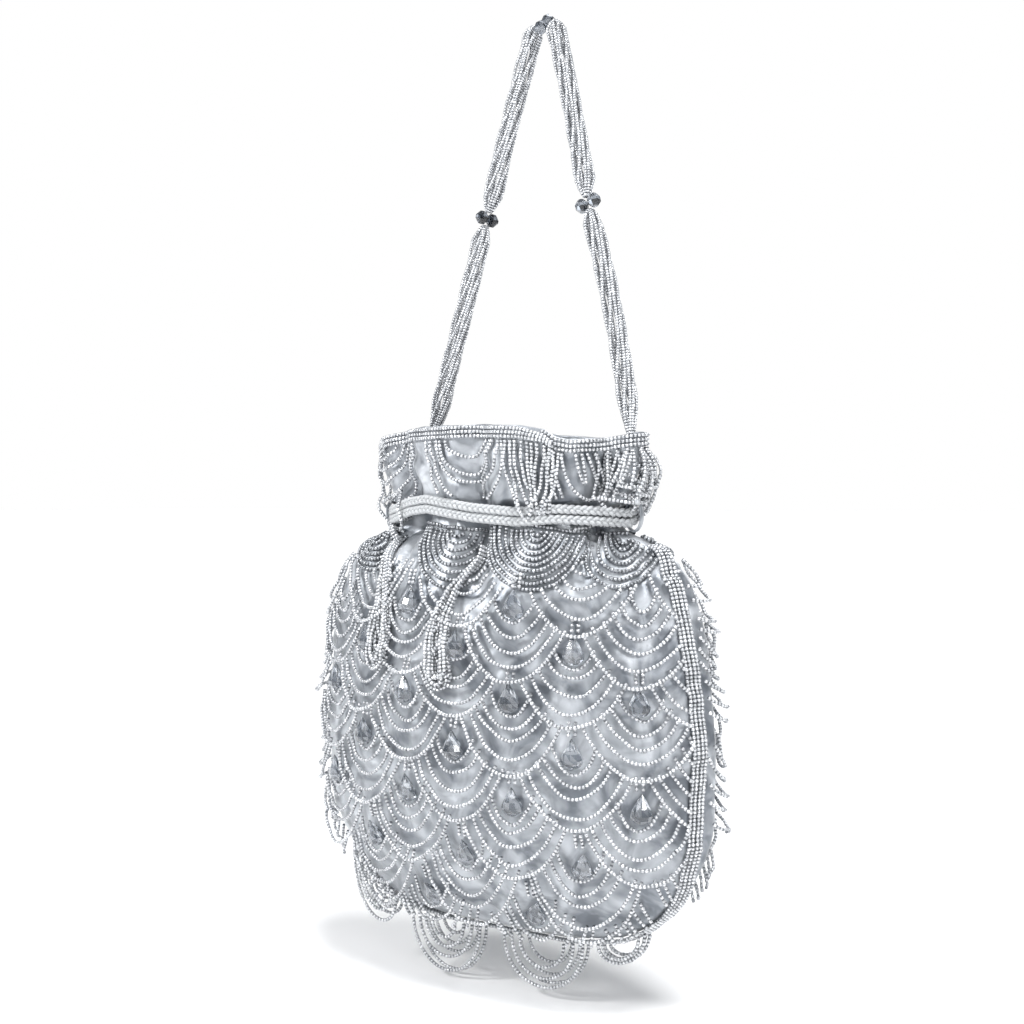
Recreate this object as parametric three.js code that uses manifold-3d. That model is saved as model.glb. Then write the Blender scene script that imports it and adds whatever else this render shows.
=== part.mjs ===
// Beaded potli bag: a satin drawstring pouch of two panels with glass drops, a beaded rim and seam,
// two drawstring cords, two loop tassels and a handle of twisted bead strands.
// Millimetres, +Z up, front panel towards -Y. Heights inside the bag are measured from the drawstring.
import * as THREE from "three";
import Module from "manifold-3d";
import { mergeVertices } from "three/addons/utils/BufferGeometryUtils.js";

const wasm = await Module();
wasm.setup();

// Pouch
const BELLY_HALF_WIDTH = 82;
const BELLY_HALF_DEPTH = 33;
const BODY_DEPTH = 151;
const COLLAR_HEIGHT = 32;
const RIM_DIP = 5;
const WAIST_HALF_HEIGHT = 6;
const WALL_THICKNESS = 1.6;
const FOLD_DEPTH = 4;
const SIDE_ROUNDNESS = 1.312;
const PANEL_STEPS = 28;
const ARC_SAMPLES = 160;

// Clearance between neighbouring pieces
const GAP = 0.35;

// Drawstring, its loops and the beaded bands
const CORD_RADIUS = 1.6;
const CORD_SIDES = 6;
const CORD_WAVE_HEIGHT = 2.4;
const LOOP_WIDTH = 6;
const LOOP_STRAP_THICKNESS = 1.1;
const RIM_BAND_HEIGHT = 4.6;
const RIM_BAND_THICKNESS = 2;
const SEAM_BAND_WIDTH = 5.2;
const SEAM_BAND_THICKNESS = 2;
const SEAM_SETBACK_LENGTH = 7.5;

// Loops of beads below the bottom seam
const FRINGE_RADIUS = 0.85;
const FRINGE_SIDES = 5;
const FRINGE_STEPS = 8;
const FRINGE_OFFSET = 1.5;

// Glass drops
const DROP_LENGTH = 10.2;
const DROP_WIDTH = 7.4;
const DROP_THICKNESS = 5.4;
const STONE_SIDES = 8;
const COLUMN_PITCH_SHARE = 0.2646;

// Handle
const HANDLE_HEIGHT = 179.5;
const HANDLE_SHIFT = 6;
const HANDLE_SETBACK = 14;
const BUNDLE_RADIUS = 3.5;
const BUNDLE_TIP_RADIUS = 1.9;
const BUNDLE_TAPER_LENGTH = 9;
const BUNDLE_STRANDS = 8;
const BUNDLE_TWIST_LENGTH = 74;
const BUNDLE_STEPS = 12;
const STRAND_RELIEF_DEPTH = 0.35;
const CRYSTAL_WIDTH = 5.2;
const CRYSTAL_LENGTH = 4.8;
const CRYSTAL_TILT = (50 * Math.PI) / 180;
const LEFT_HANDLE_SHARE = -0.71;
const RIGHT_HANDLE_SHARE = 0.93;
const CRYSTAL_PLACE = 0.46;

// Tassels
const TASSEL_LENGTH = 50;
const TASSEL_NECK_RADIUS = 2.3;
const TASSEL_FOOT_RADIUS = 4.6;
const TASSEL_THICKNESS_SHARE = 0.62;
const TASSEL_STRANDS = 6;
const TASSEL_STEPS = 10;
const TASSEL_SWELL = { start: 0.35, end: 0.85 };
const TASSEL_ROUND_START = 0.9;
const TASSEL_TIP_SHARE = 0.4;
const TASSEL_RELIEF_SHARE = 0.1;
const SEARCH_PASSES = 4;

// Sections of the collar: rise as a share of COLLAR_HEIGHT, the rest of the belly's sizes and FOLD_DEPTH
const COLLAR_SECTIONS = [
  { rise: 1.0, width: 0.68, depth: 0.72, fold: 0.75 },
  { rise: 0.8, width: 0.675, depth: 0.71, fold: 0.75 },
  { rise: 0.58, width: 0.66, depth: 0.69, fold: 0.8 },
  { rise: 0.36, width: 0.63, depth: 0.66, fold: 0.85 },
];

// Section held by the drawstring, and those of the body: drop as a share of BODY_DEPTH, setback of
// SEAM_SETBACK_LENGTH, how far the right seam lies from the edge on to the front, and the left on to the back
const WAIST_SECTION = { width: 0.605, depth: 0.64, fold: 1.0 };
const BODY_SECTIONS = [
  { drop: 0.08, width: 0.77, depth: 0.74, fold: 0.9, setback: 0.2 },
  { drop: 0.135, width: 0.87, depth: 0.84, fold: 0.6, setback: 0.5 },
  { drop: 0.21, width: 0.93, depth: 0.92, fold: 0.33, setback: 0.7 },
  { drop: 0.3, width: 0.962, depth: 0.97, fold: 0.15, setback: 0.95 },
  { drop: 0.4, width: 0.985, depth: 1.0, fold: 0.05, setback: 0.92 },
  { drop: 0.51, width: 1.0, depth: 1.0, fold: 0, setback: 0.95 },
  { drop: 0.62, width: 1.0, depth: 0.95, fold: 0, setback: 1 },
  { drop: 0.71, width: 0.99, depth: 0.87, fold: 0, setback: 1 },
  { drop: 0.79, width: 0.94, depth: 0.73, fold: 0, setback: 0.75 },
  { drop: 0.86, width: 0.86, depth: 0.58, fold: 0, setback: 0.3 },
  { drop: 0.915, width: 0.755, depth: 0.43, fold: 0, setback: 0 },
  { drop: 0.955, width: 0.655, depth: 0.3, fold: 0, setback: 0 },
  { drop: 0.982, width: 0.53, depth: 0.18, fold: 0, setback: 0 },
  { drop: 1.0, width: 0.32, depth: 0.07, fold: 0, setback: 0 },
];

// Gathers of each panel by length along it, from -1 at the left seam to 1 at the right, depth of FOLD_DEPTH
const GATHERS = [
  { place: -0.6, spread: 0.22, depth: 0.9 },
  { place: 0.02, spread: 0.18, depth: 1.0 },
  { place: 0.8, spread: 0.2, depth: 0.9 },
];

// Height of the rim along the front panel, and rise of the cords there, as shares of their named heights
const FRONT_RIM = [
  { place: -1, height: 0.844 },
  { place: -0.8, height: 0.947 },
  { place: -0.5, height: 0.997 },
  { place: 0, height: 1.0 },
  { place: 0.3, height: 0.975 },
  { place: 0.5, height: 0.86 },
  { place: 0.8, height: 0.853 },
  { place: 1, height: 0.844 },
];
const FRONT_CORD = [
  { place: -1, height: 0 },
  { place: -0.75, height: 0.15 },
  { place: -0.55, height: 0.8 },
  { place: -0.38, height: 1.0 },
  { place: -0.22, height: 0.7 },
  { place: 0, height: 0.2 },
  { place: 0.3, height: -0.15 },
  { place: 0.55, height: 0.1 },
  { place: 1, height: 0 },
];

// Rows of glass drops: drop as a share of BODY_DEPTH, columns counted from the panel's middle
const DROP_ROWS = [
  { drop: 0.203, columns: [-1, 1] },
  { drop: 0.297, columns: [-2, 0, 2] },
  { drop: 0.407, columns: [-3, -1, 1, 3] },
  { drop: 0.522, columns: [-2, 0, 2] },
  { drop: 0.638, columns: [-3, -1, 1, 3] },
  { drop: 0.772, columns: [-2, 0, 2] },
  { drop: 0.905, columns: [-1, 1] },
];

// Groups of loops below the seam: middle and reach as shares of BELLY_HALF_WIDTH, hang of BODY_DEPTH
const FRINGE_GROUPS = [
  { middle: -0.727, reach: 0.125, hang: 0.108 },
  { middle: -0.316, reach: 0.187, hang: 0.13 },
  { middle: 0.2, reach: 0.2, hang: 0.122 },
  { middle: 0.585, reach: 0.11, hang: 0.06 },
];
const FRINGE_NESTS = [
  { reach: 1.0, hang: 1.0 },
  { reach: 0.62, hang: 0.62 },
];

// Profile of a drop from its point down: height as a share of its length, girth of its half width
const DROP_PROFILE = [
  { height: 0.5, girth: 0 },
  { height: 0.02, girth: 0.72 },
  { height: -0.2, girth: 1 },
  { height: -0.5, girth: 0.36 },
  { height: -0.5, girth: 0 },
];
const CRYSTAL_PROFILE = [
  { height: 0.5, girth: 0 },
  { height: 0.5, girth: 0.45 },
  { height: 0.12, girth: 1 },
  { height: -0.12, girth: 1 },
  { height: -0.5, girth: 0.45 },
  { height: -0.5, girth: 0 },
];

// Lay of the two tassels on the front: place across as a share of the belly's half width, and its drop
const TASSELS = [
  { name: "tassel_left", top: -0.54, middle: -0.405, foot: -0.42, start: 0.05 },
  { name: "tassel_front", top: 0.045, middle: -0.1, foot: -0.08, start: 0.075 },
];

const satin = new THREE.MeshStandardMaterial({ color: 0xaab1bb, roughness: 0.4, metalness: 0.1 });
const beads = new THREE.MeshStandardMaterial({ color: 0xdfe3e8, roughness: 0.2, metalness: 0.6 });
const braid = new THREE.MeshStandardMaterial({ color: 0xd2d5d9, roughness: 0.6, metalness: 0.0 });
const glass = new THREE.MeshStandardMaterial({ color: 0x8d99a6, roughness: 0.05, metalness: 0.0 });
const crystal = new THREE.MeshStandardMaterial({ color: 0x59626c, roughness: 0.05, metalness: 0.2 });

const bag = new THREE.Group();
bag.position.set(-HANDLE_SHIFT, -HANDLE_SETBACK, -HANDLE_HEIGHT);

function addPiece(name, geometry, material) {
  const piece = new THREE.Mesh(geometry, material);
  piece.name = name;
  bag.add(piece);
  return piece;
}

// Triangles that close a ring, laid across it in strips from its first point
function capTriangles(count) {
  const triangles = [];
  for (let side = 0; side < count / 2; side += 1) {
    const far = count - side - 1;
    if (side + 1 < far) {
      triangles.push([side, side + 1, far]);
    }
    if (side > 0 && side < far) {
      triangles.push([side, far, far + 1]);
    }
  }
  return triangles;
}

// Closed skin over rings of equal counts, each turning anticlockwise about the way the rings run
function skin(rings, looped) {
  const count = rings[0].length;
  const positions = rings.flat().flatMap((point) => [point.x, point.y, point.z]);
  const index = [];
  const spans = looped ? rings.length : rings.length - 1;
  for (let ring = 0; ring < spans; ring += 1) {
    const near = ring * count;
    const far = ((ring + 1) % rings.length) * count;
    for (let side = 0; side < count; side += 1) {
      const next = (side + 1) % count;
      index.push(near + side, near + next, far + side);
      index.push(near + next, far + next, far + side);
    }
  }
  if (!looped) {
    const last = (rings.length - 1) * count;
    for (const [a, b, c] of capTriangles(count)) {
      index.push(a, c, b);
      index.push(last + a, last + b, last + c);
    }
  }
  const geometry = new THREE.BufferGeometry();
  geometry.setAttribute("position", new THREE.Float32BufferAttribute(positions, 3));
  geometry.setIndex(index);
  geometry.computeVertexNormals();
  return geometry;
}

function solidOf(geometry) {
  const bare = geometry.clone();
  bare.deleteAttribute("normal");
  bare.deleteAttribute("uv");
  const merged = mergeVertices(bare);
  const mesh = new wasm.Mesh({
    numProp: 3,
    vertProperties: new Float32Array(merged.attributes.position.array),
    triVerts: new Uint32Array(merged.index.array),
  });
  return new wasm.Manifold(mesh);
}

function geometryOf(solid) {
  const mesh = solid.getMesh();
  const geometry = new THREE.BufferGeometry();
  geometry.setAttribute("position", new THREE.BufferAttribute(mesh.vertProperties, 3));
  geometry.setIndex(new THREE.BufferAttribute(mesh.triVerts, 1));
  geometry.computeVertexNormals();
  return geometry;
}

// Half of a section as a curve by length: share runs from -1 at the left seam to 1 at the right
function panelCurve(halfWidth, halfDepth) {
  const points = [];
  const lengths = [0];
  for (let step = 0; step <= ARC_SAMPLES; step += 1) {
    const turn = Math.PI * (step / ARC_SAMPLES - 0.5);
    const bulge = Math.pow(Math.max(Math.cos(turn), 0), SIDE_ROUNDNESS);
    points.push(new THREE.Vector2(halfWidth * Math.sin(turn), halfDepth * bulge));
    if (step > 0) {
      lengths.push(lengths[step - 1] + points[step].distanceTo(points[step - 1]));
    }
  }
  const total = lengths[ARC_SAMPLES];
  function at(share) {
    const wanted = (total * (share + 1)) / 2;
    let step = 1;
    while (step < ARC_SAMPLES && lengths[step] < wanted) {
      step += 1;
    }
    const along = (wanted - lengths[step - 1]) / (lengths[step] - lengths[step - 1]);
    const place = points[step - 1].clone().lerp(points[step], along);
    const course = points[step].clone().sub(points[step - 1]).normalize();
    const tip = Math.abs(share) > 1 - 1 / ARC_SAMPLES;
    const normal = tip ? new THREE.Vector2(Math.sign(share), 0) : new THREE.Vector2(-course.y, course.x);
    return { place, normal };
  }
  return { at, halfLength: total / 2 };
}

// How far the gathers pull a point in, as a share of FOLD_DEPTH
function foldAt(share) {
  return GATHERS.reduce((pull, gather) => {
    const off = Math.min(Math.abs(share - gather.place) / gather.spread, 1);
    return pull + (gather.depth * (1 + Math.cos(Math.PI * off))) / 2;
  }, 0);
}

// One point of the pouch; side is -1 on the front and 1 on the back
function pouchPoint(section, share, side, inset) {
  const halfWidth = section.width * BELLY_HALF_WIDTH - inset;
  const halfDepth = section.depth * BELLY_HALF_DEPTH - inset;
  const { place, normal } = panelCurve(halfWidth, halfDepth).at(share);
  const pull = FOLD_DEPTH * section.fold * foldAt(share);
  const normalDepth = normal.y * side;
  const height = section.rise === undefined ? section.height : rimHeight(share, side) * section.rise;
  return {
    place: new THREE.Vector3(place.x - normal.x * pull, place.y * side - normalDepth * pull, height),
    normal: new THREE.Vector3(normal.x, normalDepth, 0),
  };
}

// Height at a place along a table of places
function heightAt(table, share) {
  const after = Math.max(table.findIndex((row) => row.place >= share), 1);
  const low = table[after - 1];
  const high = table[after];
  return THREE.MathUtils.lerp(low.height, high.height, (share - low.place) / (high.place - low.place));
}

function rimHeight(share, side) {
  return side < 0 ? heightAt(FRONT_RIM, share) * COLLAR_HEIGHT : COLLAR_HEIGHT - RIM_DIP * share * share;
}

// Round the bag from the right seam over the back to the left seam and home over the front
function around(visit) {
  const ring = [];
  for (let step = 0; step < PANEL_STEPS; step += 1) {
    ring.push(visit(1 - (2 * step) / PANEL_STEPS, 1));
  }
  for (let step = 0; step < PANEL_STEPS; step += 1) {
    ring.push(visit((2 * step) / PANEL_STEPS - 1, -1));
  }
  return ring;
}

const sections = [
  ...COLLAR_SECTIONS,
  { ...WAIST_SECTION, height: WAIST_HALF_HEIGHT },
  { ...WAIST_SECTION, height: -WAIST_HALF_HEIGHT },
  ...BODY_SECTIONS.map((row) => ({ ...row, height: -row.drop * BODY_DEPTH })),
];

// Section of the body at any height below the waist
function sectionAt(height) {
  const below = sections.findIndex((row) => row.height !== undefined && row.height <= height);
  const low = sections[below];
  const high = sections[below - 1];
  const along = (height - low.height) / (high.height - low.height);
  return {
    height,
    width: THREE.MathUtils.lerp(low.width, high.width, along),
    depth: THREE.MathUtils.lerp(low.depth, high.depth, along),
    fold: THREE.MathUtils.lerp(low.fold, high.fold, along),
  };
}

// Pouch of one cloth wall, with the strap loops for the drawstring at its two side seams
function strapLoop(side) {
  const seam = WAIST_SECTION.width * BELLY_HALF_WIDTH;
  const inner = seam + 2 * GAP + 2 * CORD_RADIUS;
  const halfHole = WAIST_HALF_HEIGHT - LOOP_STRAP_THICKNESS;
  const root = seam - WALL_THICKNESS / 2;
  const outline = new THREE.Shape();
  outline.moveTo(root, -WAIST_HALF_HEIGHT);
  outline.lineTo(inner + LOOP_STRAP_THICKNESS, -WAIST_HALF_HEIGHT);
  outline.lineTo(inner + LOOP_STRAP_THICKNESS, WAIST_HALF_HEIGHT);
  outline.lineTo(root, WAIST_HALF_HEIGHT);
  outline.lineTo(root, halfHole);
  outline.lineTo(inner, halfHole);
  outline.lineTo(inner, -halfHole);
  outline.lineTo(root, -halfHole);
  const strap = new THREE.ExtrudeGeometry(outline, { depth: LOOP_WIDTH, bevelEnabled: false });
  strap.rotateX(Math.PI / 2);
  strap.translate(0, LOOP_WIDTH / 2, 0);
  if (side < 0) {
    strap.rotateZ(Math.PI);
  }
  return strap;
}

function pouch() {
  const outer = sections.map((row) => around((share, side) => pouchPoint(row, share, side, 0).place));
  const inner = sections
    .slice(0, -1)
    .map((row) => around((share, side) => pouchPoint(row, share, side, WALL_THICKNESS).place));
  const body = solidOf(skin([...outer.reverse(), ...inner], false));
  const loops = [-1, 1].map((side) => solidOf(strapLoop(side)));
  return geometryOf(wasm.Manifold.union([body, ...loops]));
}
addPiece("pouch", pouch(), satin);

// Closed band or cord round the bag from a section of offsets: out from the cloth and up
function girdle(section, height, profile) {
  const rings = around((share, side) => {
    const { place, normal } = pouchPoint(section, share, side, 0);
    const level = height(share, side);
    return profile.map((corner) =>
      new THREE.Vector3(place.x, place.y, level)
        .addScaledVector(normal, corner.out)
        .setZ(level + corner.up)
    );
  });
  return skin(rings, true);
}

const rimProfile = [
  { out: GAP, up: 0 },
  { out: GAP + RIM_BAND_THICKNESS, up: 0 },
  { out: GAP + RIM_BAND_THICKNESS, up: -RIM_BAND_HEIGHT },
  { out: GAP, up: -RIM_BAND_HEIGHT },
];
addPiece("beaded_rim", girdle(COLLAR_SECTIONS[0], rimHeight, rimProfile), beads);

// Two cords side by side round the waist, bridging the gathers
const cordProfile = Array.from({ length: CORD_SIDES }, (_, side) => {
  const turn = (-2 * Math.PI * (side + 0.5)) / CORD_SIDES;
  return {
    out: GAP + CORD_RADIUS + CORD_RADIUS * Math.cos(turn),
    up: CORD_RADIUS * Math.sin(turn),
  };
});
const smoothWaist = { ...WAIST_SECTION, fold: 0, height: 0 };
for (const [name, lift] of [["drawstring_upper", 1], ["drawstring_lower", -1]]) {
  const level = (share, side) =>
    lift * (CORD_RADIUS + GAP / 2) + (side < 0 ? heightAt(FRONT_CORD, share) * CORD_WAVE_HEIGHT : 0);
  addPiece(name, girdle(smoothWaist, level, cordProfile), braid);
}

// Side and bottom seam: a beaded band where the two panels meet, on the right a little to the front and
// on the left as far to the back
const seamRows = sections.filter((row) => row.drop !== undefined);
const seamRight = seamRows.map((row) => {
  const curve = panelCurve(row.width * BELLY_HALF_WIDTH, row.depth * BELLY_HALF_DEPTH);
  const share = 1 - (row.setback * SEAM_SETBACK_LENGTH) / curve.halfLength;
  const { place, normal } = pouchPoint(row, share, -1, 0);
  return { place, across: new THREE.Vector3(-normal.y, normal.x, 0) };
});
const seamLeft = [...seamRight].reverse().map(({ place, across }) => ({
  place: place.clone().multiply(new THREE.Vector3(-1, -1, 1)),
  across,
}));
const seamPath = [...seamRight, ...seamLeft];
const seamFrames = seamPath.map(({ place, across }, step) => {
  const before = seamPath[Math.max(step - 1, 0)].place;
  const after = seamPath[Math.min(step + 1, seamPath.length - 1)].place;
  const course = after.clone().sub(before).normalize();
  return { place, across, out: course.cross(across).normalize() };
});

function seamPointAt(across, out) {
  const left = seamFrames.findIndex(
    (frame, step) => step > 0 && frame.place.x <= across && seamFrames[step - 1].place.x > across
  );
  const low = seamFrames[left];
  const high = seamFrames[left - 1];
  const along = (across - low.place.x) / (high.place.x - low.place.x);
  const place = low.place.clone().lerp(high.place, along);
  return place.addScaledVector(low.out.clone().lerp(high.out, along).normalize(), out);
}

function seamBand() {
  const half = SEAM_BAND_WIDTH / 2;
  const corners = [
    { across: -half, out: GAP },
    { across: half, out: GAP },
    { across: half, out: GAP + SEAM_BAND_THICKNESS },
    { across: -half, out: GAP + SEAM_BAND_THICKNESS },
  ];
  const rings = seamFrames.map(({ place, across, out }) =>
    corners.map((corner) =>
      place.clone().addScaledVector(out, corner.out).addScaledVector(across, corner.across)
    )
  );
  return solidOf(skin(rings, false));
}

// One hanging loop: a round bead strand from the band down and back up
function fringeLoop(group, nest, side) {
  const reach = group.reach * nest.reach * BELLY_HALF_WIDTH;
  const hang = group.hang * nest.hang * BODY_DEPTH;
  const middle = group.middle * BELLY_HALF_WIDTH;
  const inBand = GAP + SEAM_BAND_THICKNESS / 2;
  const left = seamPointAt(middle - reach, inBand);
  const right = seamPointAt(middle + reach, inBand);
  const rings = [];
  for (let step = 0; step <= FRINGE_STEPS; step += 1) {
    const turn = Math.PI * (1 + step / FRINGE_STEPS);
    const share = (1 + Math.cos(turn)) / 2;
    const centre = left.clone().lerp(right, share);
    centre.z += hang * Math.sin(turn);
    const course = new THREE.Vector3(-Math.sin(turn) * reach, 0, Math.cos(turn) * hang).normalize();
    const out = new THREE.Vector3(course.z, 0, -course.x);
    rings.push(
      Array.from({ length: FRINGE_SIDES }, (_, corner) => {
        const spin = (2 * Math.PI * corner) / FRINGE_SIDES;
        return centre
          .clone()
          .addScaledVector(out, FRINGE_RADIUS * Math.cos(spin))
          .setY(side * FRINGE_OFFSET + FRINGE_RADIUS * Math.sin(spin));
      })
    );
  }
  return rings;
}

const loops = [-1, 1].flatMap((side) =>
  FRINGE_GROUPS.flatMap((group) =>
    FRINGE_NESTS.map((nest) => solidOf(skin(fringeLoop(group, nest, side), false)))
  )
);
addPiece("beaded_seam", geometryOf(wasm.Manifold.union([seamBand(), ...loops])), beads);

// Drops and crystals: faceted turned shapes with a flat table
function facetedStone(profile, length, width) {
  const outline = profile.map(
    (row) => new THREE.Vector2((row.girth * width) / 2, row.height * length)
  );
  const stone = new THREE.LatheGeometry(outline.reverse(), STONE_SIDES);
  stone.rotateX(Math.PI / 2);
  return stone;
}

function standOn(piece, place, out, down) {
  const across = new THREE.Vector3().crossVectors(down, out).normalize();
  const up = down.clone().negate();
  piece.position.copy(place);
  piece.setRotationFromMatrix(new THREE.Matrix4().makeBasis(across, out, up));
}

// A drop lies against the cloth at its girdle, its widest ring
const girdleDrop = -DROP_PROFILE.find((row) => row.girth === 1).height * DROP_LENGTH;
for (const [panel, side] of [["front", -1], ["back", 1]]) {
  DROP_ROWS.forEach((row, rowNumber) => {
    const section = sectionAt(-row.drop * BODY_DEPTH - girdleDrop);
    const curve = panelCurve(section.width * BELLY_HALF_WIDTH, section.depth * BELLY_HALF_DEPTH);
    row.columns.forEach((column, place) => {
      const share = (column * COLUMN_PITCH_SHARE * BELLY_HALF_WIDTH) / curve.halfLength;
      const here = pouchPoint(section, share, side, 0);
      const lower = pouchPoint(sectionAt(section.height - DROP_WIDTH / 2), share, side, 0);
      const upper = pouchPoint(sectionAt(section.height + DROP_WIDTH / 2), share, side, 0);
      const down = lower.place.clone().sub(upper.place).normalize();
      const out = here.normal.clone().addScaledVector(down, -here.normal.dot(down)).normalize();
      const stone = facetedStone(DROP_PROFILE, DROP_LENGTH, DROP_WIDTH);
      stone.scale(1, DROP_THICKNESS / DROP_WIDTH, 1);
      const piece = addPiece(`drop_${panel}_${rowNumber + 1}_${place + 1}`, stone, glass);
      const seat = here.place.clone().addScaledVector(out, GAP + DROP_THICKNESS / 2);
      standOn(piece, seat.addScaledVector(down, -girdleDrop), out, down);
    });
  });
}

// Handle: two legs of twisted strands from the rim to the crystals at the top
function bundle(from, to) {
  const course = to.clone().sub(from);
  const length = course.length();
  course.normalize();
  const across = new THREE.Vector3(0, 1, 0).cross(course).normalize();
  const beside = new THREE.Vector3().crossVectors(course, across);
  const points = BUNDLE_STRANDS * 2;
  const rings = [];
  for (let step = 0; step <= BUNDLE_STEPS; step += 1) {
    const ends = [0, BUNDLE_TAPER_LENGTH / 2, BUNDLE_TAPER_LENGTH];
    const inner = BUNDLE_STEPS - 2 * (ends.length - 1);
    const fromEnd = Math.min(step, BUNDLE_STEPS - step);
    const span = (length - 2 * BUNDLE_TAPER_LENGTH) / inner;
    const further = BUNDLE_TAPER_LENGTH + (fromEnd - ends.length + 1) * span;
    const reach = fromEnd < ends.length ? ends[fromEnd] : further;
    const along = step <= BUNDLE_STEPS / 2 ? reach : length - reach;
    const swell = Math.min(reach / BUNDLE_TAPER_LENGTH, 1);
    const radius = THREE.MathUtils.lerp(BUNDLE_TIP_RADIUS, BUNDLE_RADIUS, Math.sqrt(swell));
    const turn = (2 * Math.PI * along) / BUNDLE_TWIST_LENGTH;
    rings.push(
      Array.from({ length: points }, (_, point) => {
        const spin = turn + (2 * Math.PI * point) / points;
        const size = radius - (point % 2) * STRAND_RELIEF_DEPTH;
        return from
          .clone()
          .addScaledVector(course, along)
          .addScaledVector(across, size * Math.cos(spin))
          .addScaledVector(beside, size * Math.sin(spin));
      })
    );
  }
  return skin(rings, false);
}

function addCrystal(name, place, axis) {
  const stone = facetedStone(CRYSTAL_PROFILE, CRYSTAL_LENGTH, CRYSTAL_WIDTH);
  const piece = addPiece(name, stone, crystal);
  piece.position.copy(place);
  piece.quaternion.setFromUnitVectors(new THREE.Vector3(0, 0, 1), axis);
}

const topSection = COLLAR_SECTIONS[0];
const rimSeat = (share, side) => {
  const outerEdge = pouchPoint(topSection, share, side, 0).place;
  const innerEdge = pouchPoint(topSection, share, side, WALL_THICKNESS).place;
  return outerEdge.lerp(innerEdge, 0.5);
};
const crystalPitch = CRYSTAL_WIDTH + GAP;
const apex = new THREE.Vector3(HANDLE_SHIFT, HANDLE_SETBACK, HANDLE_HEIGHT + CRYSTAL_WIDTH / 2);
const legSeats = { left: rimSeat(LEFT_HANDLE_SHARE, 1), right: rimSeat(RIGHT_HANDLE_SHARE, -1) };
const span = legSeats.right.clone().sub(legSeats.left).setZ(0).normalize();
const leaning = new THREE.Vector3(0, 0, crystalPitch).applyAxisAngle(span, -CRYSTAL_TILT);
addCrystal("crystal_top_lower", apex, span);
addCrystal("crystal_top_upper", apex.clone().add(leaning), span);

for (const [name, side] of [["left", -1], ["right", 1]]) {
  const topReach = CRYSTAL_LENGTH / 2 + GAP + BUNDLE_TIP_RADIUS;
  const top = apex.clone().addScaledVector(span, side * topReach).addScaledVector(leaning, 0.5);
  const foot = legSeats[name].clone();
  const course = top.clone().sub(foot).normalize();
  foot.addScaledVector(course, GAP + BUNDLE_TIP_RADIUS * Math.hypot(course.x, course.y));
  const middle = top.clone().lerp(foot, CRYSTAL_PLACE);
  const half = CRYSTAL_LENGTH / 2 + GAP;
  addPiece(`handle_${name}_lower`, bundle(foot, middle.clone().addScaledVector(course, -half)), beads);
  addPiece(`handle_${name}_upper`, bundle(middle.clone().addScaledVector(course, half), top), beads);
  const away = new THREE.Vector3().crossVectors(course, span).normalize();
  const pair = side < 0 ? away : new THREE.Vector3().crossVectors(away, course).normalize();
  for (const [place, sign] of [["inner", -1], ["outer", 1]]) {
    const seat = middle.clone().addScaledVector(pair, (sign * crystalPitch) / 2);
    addCrystal(`crystal_${name}_${place}`, seat, course);
  }
}

// Where a place across the bag lies on the front panel's curve
function frontAt(section, across) {
  const curve = panelCurve(section.width * BELLY_HALF_WIDTH, section.depth * BELLY_HALF_DEPTH);
  let share = 0;
  for (let pass = 0; pass < SEARCH_PASSES; pass += 1) {
    share += (across - curve.at(share).place.x) / curve.halfLength;
  }
  const { place, normal } = curve.at(share);
  return {
    place: new THREE.Vector3(place.x, -place.y, section.height),
    normal: new THREE.Vector3(normal.x, -normal.y, 0),
  };
}

// Tassels of looped strands, lying down the front from the drawstring
function tassel(row) {
  const points = TASSEL_STRANDS * 2;
  const rings = [];
  for (let step = 0; step <= TASSEL_STEPS; step += 1) {
    const along = step / TASSEL_STEPS;
    const section = sectionAt(-row.start * BODY_DEPTH - along * TASSEL_LENGTH);
    const early = THREE.MathUtils.lerp(row.top, row.middle, Math.min(along * 2, 1));
    const across = THREE.MathUtils.lerp(early, row.foot, Math.max(along * 2 - 1, 0)) * BELLY_HALF_WIDTH;
    const { place, normal } = frontAt(section, across);
    const tip = Math.max((along - TASSEL_ROUND_START) / (1 - TASSEL_ROUND_START), 0);
    const round = Math.max(Math.sqrt(1 - tip * tip), TASSEL_TIP_SHARE);
    const swell = THREE.MathUtils.smoothstep(along, TASSEL_SWELL.start, TASSEL_SWELL.end);
    const wide = THREE.MathUtils.lerp(TASSEL_NECK_RADIUS, TASSEL_FOOT_RADIUS, swell);
    const flatFoot = TASSEL_FOOT_RADIUS * TASSEL_THICKNESS_SHARE;
    const thick = THREE.MathUtils.lerp(TASSEL_NECK_RADIUS, flatFoot, swell);
    const beside = new THREE.Vector3(-normal.y, normal.x, 0);
    const centre = place.addScaledVector(normal, thick + 2 * GAP);
    rings.push(
      Array.from({ length: points }, (_, point) => {
        const spin = (-2 * Math.PI * point) / points;
        const size = round * (1 - (point % 2) * TASSEL_RELIEF_SHARE);
        return centre
          .clone()
          .addScaledVector(normal, thick * size * Math.cos(spin))
          .addScaledVector(beside, wide * size * Math.sin(spin));
      })
    );
  }
  return skin(rings, false);
}

for (const row of TASSELS) {
  addPiece(row.name, tassel(row), beads);
}

const part = new THREE.Group();
part.add(bag);
export default part;
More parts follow.
